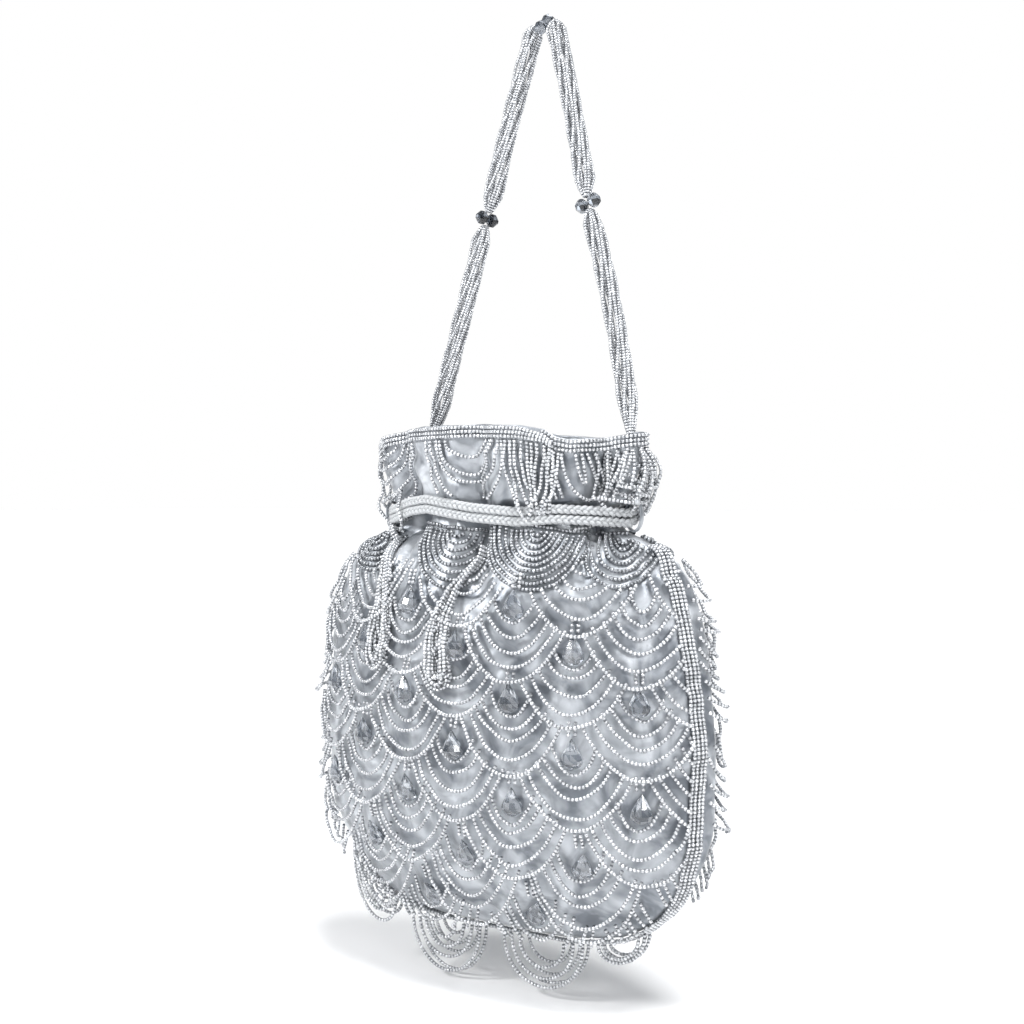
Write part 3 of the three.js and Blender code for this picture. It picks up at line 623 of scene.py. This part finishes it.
def cut_glass(name, dark, bright, roughness, painted_glint_name=None):
    """Clear tinted glass with painted reflections: each facet gets a lighter or darker colour, from the mesh where it
    gives one, else by the way it faces.
    """
    material = bpy.data.materials.new(name)
    material.use_nodes = True
    nodes, links = material.node_tree.nodes, material.node_tree.links
    shader = nodes["Principled BSDF"]
    shader.inputs["Transmission Weight"].default_value = 0.85
    shader.inputs["IOR"].default_value = 1.55
    shader.inputs["Coat Weight"].default_value = 0.12
    place = nodes.new("ShaderNodeTexCoord")
    streak = nodes.new("ShaderNodeTexNoise")
    streak.inputs["Scale"].default_value = 400
    links.new(place.outputs["Object"], streak.inputs["Vector"])
    polish = nodes.new("ShaderNodeMapRange")
    polish.inputs["To Min"].default_value = roughness * 0.5
    polish.inputs["To Max"].default_value = roughness * 1.5
    links.new(streak.outputs["Fac"], polish.inputs["Value"])
    links.new(polish.outputs["Result"], shader.inputs["Roughness"])
    tint = nodes.new("ShaderNodeValToRGB")
    tint.color_ramp.elements[0].position = 0.35
    tint.color_ramp.elements[1].position = 0.65
    tint.color_ramp.elements[0].color = (*dark, 1)
    tint.color_ramp.elements[1].color = (*bright, 1)
    # Painted reflections: the facet's number, or the way it faces, picks a colour between dark and bright, as if the
    # cut caught the light.
    if painted_glint_name:
        tone = nodes.new("ShaderNodeAttribute")
        tone.attribute_name = painted_glint_name
        links.new(tone.outputs["Fac"], tint.inputs["Fac"])
    else:
        # Painted reflections on the crystals: the way each flat facet faces picks its colour between dark and bright.
        facet = nodes.new("ShaderNodeVectorMath")
        facet.operation = "SNAP"
        facet.inputs[1].default_value = (0.08, 0.08, 0.08)
        links.new(place.outputs["Normal"], facet.inputs[0])
        tone = nodes.new("ShaderNodeTexWhiteNoise")
        links.new(facet.outputs["Vector"], tone.inputs["Vector"])
        links.new(tone.outputs["Value"], tint.inputs["Fac"])
    links.new(tint.outputs["Color"], shader.inputs["Base Color"])
    return material


drop_glass = cut_glass("smoky_drop_glass", (0.25, 0.275, 0.31), (0.78, 0.805, 0.84), 0.12, "painted_facet_glint")
DROP_SIDES = 10
DROP_CUTS = [(0.5, 0.07), (0.3, 0.38), (0.04, 0.76), (-0.18, 0.98), (-0.34, 0.9), (-0.45, 0.58), (-0.5, 0.22)]


def teardrop(node):
    """Corners and facets of one drop, along the long axis of its CAD solid."""
    points = np.array([vertex.co[:] for vertex in node.data.vertices])
    low, high = points.min(axis=0), points.max(axis=0)
    middle = (low + high) / 2
    axes = np.linalg.svd(points - points.mean(axis=0), full_matrices=False)[2]
    down = axes[0] * -np.sign(axes[0][2])
    out = axes[2] * (np.sign(axes[2][1]) if middle[1] > CENTRE_Y else -np.sign(axes[2][1]))
    across = np.cross(down, out)
    spans = [(points @ way).max() - (points @ way).min() for way in (down, across, out)]
    centre = sum(way * ((points @ way).max() + (points @ way).min()) / 2 for way in (down, across, out))
    corners = []
    for height, girth in DROP_CUTS:
        for side in range(DROP_SIDES):
            spin = math.tau * (side + 0.5) / DROP_SIDES
            corners.append(centre - down * height * spans[0] + across * math.cos(spin) * girth * spans[1] * 0.54
                           + out * math.sin(spin) * girth * spans[2] * 0.54)
    facets = [tuple(range(DROP_SIDES)), tuple(range(len(corners) - 1, len(corners) - DROP_SIDES - 1, -1))]
    for ring in range(len(DROP_CUTS) - 1):
        for side in range(DROP_SIDES):
            after = (side + 1) % DROP_SIDES
            near, far = ring * DROP_SIDES, (ring + 1) * DROP_SIDES
            facets.append((near + side, far + side, far + after))
            facets.append((near + side, far + after, near + after))
    return np.array(corners), facets


def glass_drops(name, start):
    """All the drops of one panel as one piece."""
    corners, facets, replaced = [], [], []
    for node_name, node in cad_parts.items():
        if node_name.startswith(start):
            shape_corners, shape_facets = teardrop(node)
            base = sum(len(part) for part in corners)
            facets += [tuple(corner + base for corner in facet) for facet in shape_facets]
            corners.append(shape_corners)
            replaced.append(node_name)
    mesh = bpy.data.meshes.new(name)
    mesh.from_pydata(np.concatenate(corners).tolist(), [], facets)
    mesh.update()
    piece = bpy.data.objects.new(name, mesh)
    scene.collection.objects.link(piece)
    mesh.materials.append(drop_glass)
    # Painted reflections: a random number for each facet picks how light or dark its glass is coloured.
    tone = mesh.attributes.new("painted_facet_glint", "FLOAT", "FACE")
    tone.data.foreach_set("value", chance.uniform(0, 1, len(mesh.polygons)).astype(np.float32))
    finish_piece(piece, "glass_drop", *replaced)


glass_drops("glass_drops_front", "drop_front_")
glass_drops("glass_drops_back", "drop_back_")


def hanger_lines(side):
    """The two short strings that each drop hangs by."""
    lines = []
    for row, columns in DROP_PLACES:
        middle = -ROW_DROPS[row] * BODY_DEPTH
        for column in columns:
            for beside in (-1.1, 1.1):
                height = np.linspace(middle + 10.5 * MM, middle + 5.3 * MM, 12)
                across = np.full(12, column * COLUMN_PITCH) + beside * MM
                lines.append(on_cloth(across, level_of(height), 1.6 * MM, side))
    return lines


thread_beads("drop_hangers_front", hanger_lines(-1), silver_beads, "seed_beads")
thread_beads("drop_hangers_back", hanger_lines(1), silver_beads, "seed_beads")

# Swags on the collar
# Strings of beads that hang from the rim in nested swags, like the scallops below, with a cut drop in some.
# Each group: middle in millimetres from the panel's middle, whether it hangs over the cords, then half width
# and hang of each string
COLLAR_GROUPS = [
    (-48.5, True, ((4.5, 3.5), (8, 7), (11.5, 12.8), (15, 18.2), (18.5, 22))),
    (-3.5, False, ((8, 6), (10.6, 12), (13.3, 15.5), (15.5, 21.5), (17.6, 26))),
    (22.5, True, ((2.8, 16.5), (5.4, 20), (7.6, 25.5), (9.8, 22.5))),
    (26.5, True, ((3.2, 22), (4.6, 26.5))),
    (39.5, False, ((0.9, 9.5), (6.5, 14.5), (9.5, 24), (12.5, 28))),
    (61, True, ((4, 8), (7, 12), (11, 15), (15, 18.5), (18.5, 23))),
]
SIDE_REACH = 16 * MM
# Height of the cords along the front, by place from the left seam to the right, in millimetres
CORD_PLACES = [-1, -0.75, -0.55, -0.38, -0.22, 0, 0.3, 0.55, 0.8, 1]
CORD_HEIGHTS = [-1.2, 0.6, 3.0, 3.9, 2.6, 0.8, -0.6, 0.4, -0.3, -1.2]


def collar_lines(side):
    """Nested strings that hang from the rim, the longest over the drawstring."""
    lines = []
    turn = np.linspace(0, math.pi, 70)
    for middle, over, strings in COLLAR_GROUPS:
        lean = chance.normal(0, 1.2) * MM
        for reach, hang in strings:
            hang = hang * chance.normal(1, 0.04)
            across = middle * MM - reach * chance.normal(1, 0.06) * MM * np.cos(turn) + lean * np.sin(turn)
            share = np.clip(across / half_length(0.8), -1, 1)
            rim = rim_height(share, side)
            height = rim - 5 * MM - hang * MM * np.sin(turn) ** 1.2 + chance.uniform(-0.4, 0.4) * MM * np.sin(turn * 5)
            level = np.where(height > 0, height / rim, height / BODY_DEPTH)
            cord_top = (5 + (np.interp(share, CORD_PLACES, CORD_HEIGHTS) if side < 0 else 0)) * MM
            kept = (np.abs(across) < half_length(level) + SIDE_REACH) & ((height > cord_top) | over)
            over_cord = np.clip(1 - np.abs(height - 1 * MM) / (7 * MM), 0, 1) ** 0.5 if over else 0
            edge = np.clip((np.abs(across) / half_length(level) - 0.85) / 0.3, 0, 1) * chance.uniform(2, 6)
            lift = (1.0 + (1.2 * chance.uniform(0.7, 1.4) + edge) * np.sin(turn) + 3.2 * over_cord) * MM
            points = on_cloth(across, level, lift, side)
            starts = np.flatnonzero(np.diff(np.concatenate([[0], kept.astype(int), [0]])))
            lines += [points[first:last] for first, last in zip(starts[::2], starts[1::2]) if last - first > 4]
    return lines


thread_beads("collar_swags_front", collar_lines(-1), silver_beads, "seed_beads")
thread_beads("collar_swags_back", collar_lines(1), silver_beads, "seed_beads")

# Loose strings at the collar's right end, with a dark bead at the foot of two
# Place as a share of the panel's length, lowest height and stand-off in millimetres
CORNER_STRINGS = [(0.97, 10.5, 8.0), (1.03, 2.5, 6.6), (0.93, 12, 5.4), (1.0, 13, 6.6), (1.06, 7, 5.4),
                  (0.9, 6, 3.6), (1.0, 5, 4.0), (1.03, -2, 5.2), (1.1, -1, 4.8)]
DARK_ENDS = 2
corner_lines = []
for share, foot, stand in CORNER_STRINGS:
    run = np.concatenate([np.linspace(0, 1, 30), np.linspace(1, 0, 30)])
    beside = np.repeat([-0.8, 0.8], 30) * MM * run ** 0.5
    height = (24 - (24 - foot) * run) * MM
    out = (1.0 + stand * np.sin(np.clip(run * 1.5, 0, 1) * math.pi / 2)) * MM
    level = level_of(height)
    corner_lines.append(on_cloth(share * half_length(level) + beside, level, out, -1))
thread_beads("corner_strings", corner_lines, silver_beads, "seed_beads")
feet = [line[29] + np.array([[0, 0, -0.4], [0, 0, -4.0]]) * MM for line in corner_lines[:DARK_ENDS]]
thread_beads("corner_end_beads", feet, grey_beads, "seed_beads", (), 2.2 * MM, 3.6 * MM)

# Beaded rim
# Three rows of seed beads sewn side by side round the collar's upper edge.
RIM_ROWS = [0.8, 2.35, 3.9]
OVERLAP_PLACE = 0.49
rim_lines = []
for row_drop in RIM_ROWS:
    row_drop = row_drop * MM
    for side, start, end, overlap in ((1, -1, 1, 0), (-1, -1, OVERLAP_PLACE, 1), (-1, OVERLAP_PLACE - 0.07, 1, 0)):
        share = np.linspace(start, end, 200)
        level = 1 - row_drop / rim_height(share, side)
        near_end = np.clip((share - start) / (end - start), 0, 1) ** 12 * overlap
        lift = (1.25 + 1.9 * near_end) * MM
        line = on_cloth(share * half_length(level), level, lift, side)
        line[:, 2] -= near_end * (3.9 * MM - row_drop) * 0.6
        rim_lines.append(line)
thread_beads("rim_beads", rim_lines, silver_beads, "seed_beads", ["beaded_rim"])

# Beaded seam and hanging loops
# Four rows of seed beads cover the seam that joins the panels, down both sides and along the bottom. Nested
# loops of the same beads hang free below it.
LOOP_GROUPS = [(-0.727, 0.125, 0.11, 4), (-0.316, 0.187, 0.128, 4), (0.2, 0.2, 0.12, 3), (0.585, 0.11, 0.055, 2)]


def seam_path():
    """The seam's middle down the right side, along the bottom and up the left, and each point's outward way."""
    level = np.linspace(-0.075, -1, 260)
    half = half_length(level)
    right = on_cloth(half - seam_setback(level), level, 0.0, -1)
    right_out = on_cloth(half - seam_setback(level), level, 1.0, -1) - right
    right_out[:, 2] = 0
    right_side = np.stack([-right_out[:, 1], right_out[:, 0], np.zeros(len(level))], axis=1)
    left = on_cloth(seam_setback(level) - half, level, 0.0, 1)[::-1]
    left_out = on_cloth(seam_setback(level) - half, level, 1.0, 1)[::-1] - left
    left_side = np.stack([left_out[:, 1], -left_out[:, 0], np.zeros(len(level))], axis=1)
    path = np.concatenate([right, left])
    beside = np.concatenate([right_side, left_side])
    beside /= np.linalg.norm(beside, axis=1, keepdims=True)
    course = np.gradient(path, axis=0)
    out = np.cross(course, beside)
    return path, beside, out / np.linalg.norm(out, axis=1, keepdims=True)


seam_points, seam_beside, seam_out = seam_path()


def seam_height(across):
    """Height of the bottom seam under a place across the bag."""
    lower = seam_points[:, 2] < CORD_LEVEL - 0.55 * BODY_DEPTH
    order = np.argsort(seam_points[lower, 0])
    return np.interp(across, seam_points[lower, 0][order], seam_points[lower, 2][order])


seam_lines = []
for beside in (-2.1, -0.75, 0.75, 2.1):
    lift = (1.35 - 0.04 * beside ** 2) * MM
    seam_lines.append(seam_points + seam_beside * beside * MM + seam_out * lift)
for side in (-1, 1):
    for middle, reach, hang, nests in LOOP_GROUPS:
        for nest in range(nests):
            part = 1 - 0.22 * nest
            turn = np.linspace(0, math.pi, 60)
            wide = reach * part * BELLY_HALF_WIDTH
            drop = hang * part * BODY_DEPTH * chance.normal(1, 0.03)
            across = CENTRE_X + middle * BELLY_HALF_WIDTH - wide * np.cos(turn)
            ends = seam_height(across[[0, -1]]) - 1.5 * MM
            height = np.linspace(ends[0], ends[1], 60) - drop * np.sin(turn) ** 0.9
            depth = CENTRE_Y + side * (2.2 + 0.5 * nest) * MM * np.ones(60)
            seam_lines.append(np.stack([across, depth, height], axis=1))
thread_beads("seam_beads", seam_lines, silver_beads, "seed_beads", ["beaded_seam"])

# Drawstring
# Two plaited cords of light grey yarn, side by side through the loops at the seams. Three plies cross over and
# under each other in each.
PLY_RADIUS = 0.7 * MM
PLAIT_HALF_WIDTH = 0.98 * MM
PLAIT_DEPTH = 0.6 * MM
PLAIT_LENGTH = 6.6 * MM


def braid_material():
    """Matt twisted yarn with fine fibres."""
    material = bpy.data.materials.new("braided_yarn")
    material.use_nodes = True
    nodes, links = material.node_tree.nodes, material.node_tree.links
    shader = nodes["Principled BSDF"]
    shader.inputs["Sheen Weight"].default_value = 0.5
    shader.inputs["Roughness"].default_value = 0.55
    place = nodes.new("ShaderNodeTexCoord")
    fibres = nodes.new("ShaderNodeTexNoise")
    fibres.inputs["Scale"].default_value = 1600
    fibres.inputs["Detail"].default_value = 3
    links.new(place.outputs["Object"], fibres.inputs["Vector"])
    tint = nodes.new("ShaderNodeValToRGB")
    tint.color_ramp.elements[0].color = (0.30, 0.315, 0.33, 1)
    tint.color_ramp.elements[1].color = (0.62, 0.635, 0.65, 1)
    links.new(fibres.outputs["Fac"], tint.inputs["Fac"])
    links.new(tint.outputs["Color"], shader.inputs["Base Color"])
    bump = nodes.new("ShaderNodeBump")
    bump.inputs["Strength"].default_value = 0.4
    bump.inputs["Distance"].default_value = 0.0001
    links.new(fibres.outputs["Fac"], bump.inputs["Height"])
    links.new(bump.outputs["Normal"], shader.inputs["Normal"])
    return material


yarn = braid_material()


def tube(line, radius, sides, closed):
    """Vertices and faces of a round tube along a line of points."""
    count = len(line)
    course = (np.roll(line, -1, axis=0) - np.roll(line, 1, axis=0)) if closed else np.gradient(line, axis=0)
    course /= np.linalg.norm(course, axis=1, keepdims=True)
    helper = np.where(np.abs(course[:, [2]]) < 0.9, [[0.0, 0.0, 1.0]], [[1.0, 0.0, 0.0]])
    across = np.cross(helper, course)
    across /= np.linalg.norm(across, axis=1, keepdims=True)
    other = np.cross(course, across)
    turn = np.linspace(0, math.tau, sides, endpoint=False)
    ring = across[:, None] * np.cos(turn)[None, :, None] + other[:, None] * np.sin(turn)[None, :, None]
    points = (line[:, None] + ring * radius).reshape(-1, 3)
    faces = []
    for step in range(count if closed else count - 1):
        near, far = step * sides, ((step + 1) % count) * sides
        for corner in range(sides):
            after = (corner + 1) % sides
            faces.append((near + corner, near + after, far + after, far + corner))
    if not closed:
        faces.append(tuple(range(sides))[::-1])
        faces.append(tuple((count - 1) * sides + corner for corner in range(sides)))
    return points, faces


def mesh_piece(name, parts, material, slot_name, nodes=()):
    """One piece from several closed shapes."""
    points, faces, start = [], [], 0
    for shape_points, shape_faces in parts:
        points.append(shape_points)
        faces.extend(tuple(corner + start for corner in face) for face in shape_faces)
        start += len(shape_points)
    mesh = bpy.data.meshes.new(name)
    mesh.from_pydata(np.concatenate(points).tolist(), [], faces)
    mesh.update()
    mesh.polygons.foreach_set("use_smooth", np.ones(len(faces), bool))
    piece = bpy.data.objects.new(name, mesh)
    scene.collection.objects.link(piece)
    mesh.materials.append(material)
    finish_piece(piece, slot_name, *nodes)
    return piece


def cord_centre(lift):
    """The closed line of a cord's middle round the waist, over the gathers."""
    wide, deep = 0.605 * BELLY_HALF_WIDTH, 0.64 * BELLY_HALF_DEPTH
    turn = np.linspace(-math.pi / 2, math.pi / 2, 400)
    x, y = wide * np.sin(turn), deep * np.maximum(np.cos(turn), 0) ** SIDE_ROUNDNESS
    length = np.concatenate([[0], np.cumsum(np.hypot(np.diff(x), np.diff(y)))])
    share = np.linspace(-1, 1, 200)
    x = np.interp((share + 1) / 2 * length[-1], length, x)
    y = np.interp((share + 1) / 2 * length[-1], length, y)
    normal = np.stack([-np.gradient(y), np.gradient(x)], axis=1)
    normal /= np.linalg.norm(normal, axis=1, keepdims=True)
    normal[[0, -1]] = [[-1, 0], [1, 0]]
    x, y = x + normal[:, 0] * 1.95 * MM, y + normal[:, 1] * 1.95 * MM
    wave = np.interp(share, CORD_PLACES, CORD_HEIGHTS) * MM
    front = np.stack([x, -y, lift + wave], axis=1)
    back = np.stack([x, y, np.full(200, lift)], axis=1)[::-1]
    loop = np.concatenate([front[:-1], back[:-1]])
    closed = np.concatenate([loop, loop[:1]])
    steps = np.concatenate([[0], np.cumsum(np.linalg.norm(np.diff(closed, axis=0), axis=1))])
    wanted = np.linspace(0, steps[-1], 721)[:-1]
    line = np.stack([np.interp(wanted, steps, closed[:, axis]) for axis in range(3)], axis=1)
    for _ in range(12):
        line = (np.roll(line, 1, axis=0) + 2 * line + np.roll(line, -1, axis=0)) / 4
    return line + np.array([CENTRE_X, CENTRE_Y, CORD_LEVEL]), steps[-1]


def plait(name, lift, node):
    """Three plies that swing from side to side of the cord, a third of a turn apart."""
    line, length = cord_centre(lift)
    course = np.roll(line, -1, axis=0) - np.roll(line, 1, axis=0)
    course /= np.linalg.norm(course, axis=1, keepdims=True)
    outward = np.cross(course, np.array([0.0, 0.0, 1.0]))
    outward /= np.linalg.norm(outward, axis=1, keepdims=True)
    upward = np.cross(outward, course)
    turns = round(length / PLAIT_LENGTH)
    along = np.linspace(0, 1, len(line), endpoint=False)
    parts = []
    for ply in range(3):
        angle = math.tau * (turns * along + ply / 3)
        strand = line + upward * (PLAIT_HALF_WIDTH * np.sin(angle))[:, None]
        strand = strand + outward * (PLAIT_DEPTH * np.sin(2 * angle))[:, None]
        parts.append(tube(strand, PLY_RADIUS, 8, True))
    return mesh_piece(name, parts, yarn, "braided_cord", [node])


plait("drawstring_braid_upper", 1.775 * MM, "drawstring_upper")
plait("drawstring_braid_lower", -1.775 * MM, "drawstring_lower")

# Loops for the drawstring
# A folded strip of the same satin at each side seam, sewn down above and below the cords that it holds.
LOOP_REACH = 5.3 * MM
LOOP_HALF_HEIGHT = 5.6 * MM
LOOP_HALF_WIDTH = 1.5 * MM
for side in (-1, 1):
    bpy.ops.object.select_all(action="DESELECT")
    bpy.ops.mesh.primitive_cylinder_add(
        vertices=40, radius=1, depth=2 * LOOP_HALF_WIDTH, end_fill_type="NOTHING", rotation=(math.pi / 2, 0, 0))
    strap = bpy.context.active_object
    strap.name = "cord_loop_left" if side < 0 else "cord_loop_right"
    bpy.ops.object.transform_apply(rotation=True)
    for vertex in strap.data.vertices:
        seam_x = CENTRE_X + side * (0.605 * BELLY_HALF_WIDTH - 0.6 * MM)
        vertex.co.x = seam_x + side * (vertex.co.x + 1) / 2 * (LOOP_REACH + 0.6 * MM)
        vertex.co.y += CENTRE_Y
        vertex.co.z = CORD_LEVEL + vertex.co.z * LOOP_HALF_HEIGHT
    hem = strap.modifiers.new("wall", "SOLIDIFY")
    hem.thickness = 1.0 * MM
    hem.offset = 0
    rounding = strap.modifiers.new("rounding", "SUBSURF")
    rounding.levels = rounding.render_levels = 1
    for modifier in ("wall", "rounding"):
        bpy.ops.object.modifier_apply(modifier=modifier)
    bpy.ops.object.shade_smooth()
    bpy.ops.object.mode_set(mode="EDIT")
    bpy.ops.mesh.select_all(action="SELECT")
    bpy.ops.mesh.normals_make_consistent(inside=False)
    bpy.ops.object.mode_set(mode="OBJECT")
    strap.data.materials.append(satin)
    finish_piece(strap, "satin")

# Tassels
# Six strings of beads, each doubled into a long loop, hang together from the drawstring's ends over the front.
# The strings of the left one also bind the two cords beside the seam.
# Lay of each: heights in millimetres, and places across as shares of the belly's half width
TASSELS = {
    "tassel_left": ([-7, -17, -31, -45, -57], [-0.545, -0.455, -0.425, -0.43, -0.45]),
    "tassel_front": ([-11.5, -18, -26, -36, -47, -61], [0.05, 0.025, -0.055, -0.088, -0.092, -0.078]),
}
TASSEL_LOOPS = 7
for name, (heights, places) in TASSELS.items():
    strings = []
    for loop in range(TASSEL_LOOPS):
        turn = np.linspace(-1, 1, 120)
        run = np.clip((1 - np.abs(turn)) / 0.94, 0, 1)
        spread = np.sin(run * math.pi / 2) ** 2.2
        bend = np.clip((run - 0.92) / 0.08, 0, 1)
        wide = (0.5 + 0.62 * loop) * MM
        beside = np.sign(turn) * (0.7 * MM + wide * spread) * np.sqrt(np.clip(1 - bend ** 2, 0, 1))
        beside = beside + 0.5 * MM * np.sin(run * chance.uniform(4, 9) + chance.uniform(0, 6)) * spread
        length = (heights[0] - heights[-1]) * chance.uniform(0.9, 1.0) * MM
        height = heights[0] * MM - run * length
        place = np.interp(-height, -np.array(heights) * MM, places)
        level = level_of(height)
        across = place * BELLY_HALF_WIDTH * 1.015 + beside
        layer = 1.5 + 1.35 * (loop % 3) * (0.5 + 0.5 * spread)
        strings.append(on_cloth(across, level, (layer + 0.4 * np.sin(9 * turn + loop)) * MM, -1))
    if name == "tassel_left":
        for share in (-0.965, -0.93, -0.895, -0.86):
            ring = np.linspace(0, math.tau, 40)
            height = (np.interp(share, CORD_PLACES, CORD_HEIGHTS) + 4.1 * np.sin(ring)) * MM
            strings.append(on_cloth(share * half_length(0), level_of(height), (2.3 + 2.5 * np.cos(ring)) * MM, -1))
    thread_beads(name + "_strings", strings, silver_beads, "seed_beads", [name])

# Handle
# Two legs of nine twisted strings of small seed beads, each leg in two lengths. At the end of each length the
# strings come together on one thread.
OUTER_STRANDS = 9
INNER_STRANDS = 3
HANDLE_BEAD_WIDTH = 1.36 * MM
HANDLE_BEAD_LENGTH = 1.02 * MM
TWIST_LENGTH = 150 * MM


def node_axis(node):
    """The two ends of a long CAD solid, from its lowest and highest rings."""
    points = np.array([vertex.co[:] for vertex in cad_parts[node].data.vertices])
    middle = points.mean(axis=0)
    course = np.linalg.svd(points - middle, full_matrices=False)[2][0]
    course *= np.sign(course[2])
    reach = (points - middle) @ course
    return middle + course * reach.min(), middle + course * reach.max()


# Each length: how far its strings bow to the right, and the run of the taper at its foot and its top, in
# millimetres
LENGTHS = {"handle_left_lower": (0.4, 14, 6), "handle_left_upper": (0.0, 6, 3),
           "handle_right_lower": (2.2, 14, 6), "handle_right_upper": (1.2, 6, 3)}
for node, (bow, foot_run, top_run) in LENGTHS.items():
    low, high = node_axis(node)
    course = (high - low) / np.linalg.norm(high - low)
    length = np.linalg.norm(high - low)
    across = np.cross([0.0, 1.0, 0.0], course)
    across /= np.linalg.norm(across)
    other = np.cross(course, across)
    along = np.linspace(0, 1, 140)
    swell = np.clip(np.minimum(along * length / (foot_run * MM), (1 - along) * length / (top_run * MM)), 0, 1) ** 0.6
    lean = across * (bow * MM * np.sin(math.pi * along) ** 0.7)[:, None]
    strings = []
    for strand in range(OUTER_STRANDS + INNER_STRANDS):
        inner = strand >= OUTER_STRANDS
        full = 1.3 if inner else 3.05
        wobble = 0.35 * np.sin(along * 13 + strand * 2.3) * MM
        radius = ((0.6 + (full - 0.6) * swell) * MM + wobble * swell)[:, None]
        count = INNER_STRANDS if inner else OUTER_STRANDS
        angle = math.tau * (strand / count + along * length / TWIST_LENGTH)
        angle = angle + 0.22 * np.sin(along * 11 + strand * 1.9)
        strings.append(low + lean + course * (along * length)[:, None]
                       + across * np.cos(angle)[:, None] * radius + other * np.sin(angle)[:, None] * radius)
    thread_beads(node + "_strings", strings, silver_beads, "seed_beads", [node],
                 HANDLE_BEAD_WIDTH, HANDLE_BEAD_LENGTH)

# Crystals of the handle
# Round crystals cut with flat facets, dark silver, in pairs between the lengths of the handle and at its top.
# The crystals' facets are coloured dark or pale by the way they face: painted reflections.
crystal_glass = cut_glass("dark_crystal", (0.03, 0.036, 0.045), (0.75, 0.79, 0.85), 0.03)
for name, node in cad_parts.items():
    if name.startswith("crystal_"):
        node.data.materials.clear()
        node.data.materials.append(crystal_glass)

# Floor, light and camera
# A pale studio sweep just under the lowest loops, soft light from the left and above, and a camera level with
# the drawstring, a little to the right of the front.
floor_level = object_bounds()[0][2] - 1.5 * MM
bpy.ops.object.select_all(action="DESELECT")
bpy.ops.mesh.primitive_plane_add(size=60, location=(0, 0, floor_level))
floor = bpy.context.active_object
floor.name = "studio_floor"
floor_white = bpy.data.materials.new("studio_white")
floor_white.use_nodes = True
floor_white.node_tree.nodes["Principled BSDF"].inputs["Base Color"].default_value = (0.93, 0.93, 0.93, 1)
floor_white.node_tree.nodes["Principled BSDF"].inputs["Roughness"].default_value = 0.8
floor.data.materials.append(floor_white)

world = bpy.data.worlds.new("studio") if scene.world is None else scene.world
scene.world = world
world.use_nodes = True
sky_nodes, sky_links = world.node_tree.nodes, world.node_tree.links
room = sky_nodes["Background"]
room.inputs["Strength"].default_value = 1.0
height = sky_nodes.new("ShaderNodeTexCoord")
split = sky_nodes.new("ShaderNodeSeparateXYZ")
sky_links.new(height.outputs["Generated"], split.inputs[0])
sky = sky_nodes.new("ShaderNodeValToRGB")
sky.color_ramp.elements[0].position = 0.0
sky.color_ramp.elements[0].color = (0.11, 0.114, 0.12, 1)
sky.color_ramp.elements[1].position = 0.9
sky.color_ramp.elements[1].color = (0.42, 0.435, 0.457, 1)
sky_links.new(split.outputs["Z"], sky.inputs["Fac"])
sky_links.new(sky.outputs["Color"], room.inputs["Color"])
backdrop = sky_nodes.new("ShaderNodeBackground")
backdrop.inputs["Color"].default_value = (1, 1, 1, 1)
backdrop.inputs["Strength"].default_value = 1.0
seen = sky_nodes.new("ShaderNodeLightPath")
either = sky_nodes.new("ShaderNodeMixShader")
sky_links.new(seen.outputs["Is Camera Ray"], either.inputs[0])
sky_links.new(room.outputs[0], either.inputs[1])
sky_links.new(backdrop.outputs[0], either.inputs[2])
sky_links.new(either.outputs[0], sky_nodes["World Output"].inputs["Surface"])


def face_aim(holder, aim):
    """Turns a lamp towards its aim."""
    way = np.array(aim) - np.array(holder.location)
    holder.rotation_euler = (
        math.acos(-way[2] / np.linalg.norm(way)), 0, math.atan2(way[1], way[0]) - math.pi / 2)


def studio_lamp(name, kind, place, aim, size, power):
    """A soft lamp that faces its aim: an area lamp by its width, or a sun by its angle."""
    lamp = bpy.data.lights.new(name, kind)
    if kind == "SUN":
        lamp.angle = size
    else:
        lamp.size = size
    lamp.energy = power
    holder = bpy.data.objects.new(name, lamp)
    scene.collection.objects.link(holder)
    holder.location = place
    face_aim(holder, aim)


bag_middle = (CENTRE_X, CENTRE_Y, CORD_LEVEL - 0.05)
studio_lamp("sky_lamp", "SUN", (0.42, -0.3, 1.0), bag_middle, math.radians(20), 3.15)
studio_lamp("key_lamp", "AREA", (-0.45, -0.7, 0.3), bag_middle, 0.22, 7)
studio_lamp("back_lamp", "AREA", (0.1, 0.9, 0.12), bag_middle, 0.4, 2.6)
studio_lamp("side_lamp", "AREA", (0.75, -0.55, 0.05), bag_middle, 0.18, 2)

CAMERA_TURN = math.radians(32.1)
CAMERA_DISTANCE = 0.490
CAMERA_LEVEL = 4 * MM
PIXELS_PER_METRE = 2720
PICTURE = 1024
AXIS_PIXEL = (507.4, 503.6)
camera = bpy.data.cameras.new("photo_camera")
camera.sensor_width = 36
camera.lens = camera.sensor_width * PIXELS_PER_METRE * CAMERA_DISTANCE / PICTURE
camera.shift_x = (PICTURE / 2 - AXIS_PIXEL[0]) / PICTURE
camera.shift_y = (AXIS_PIXEL[1] - PICTURE / 2) / PICTURE
camera.clip_start = 0.01
photo_camera = bpy.data.objects.new("photo_camera", camera)
scene.collection.objects.link(photo_camera)
photo_camera.location = (
    CENTRE_X + CAMERA_DISTANCE * math.sin(CAMERA_TURN),
    CENTRE_Y - CAMERA_DISTANCE * math.cos(CAMERA_TURN),
    CORD_LEVEL + CAMERA_LEVEL,
)
photo_camera.rotation_euler = (math.pi / 2, 0, CAMERA_TURN)
scene.camera = photo_camera
scene.view_settings.view_transform = "Standard"
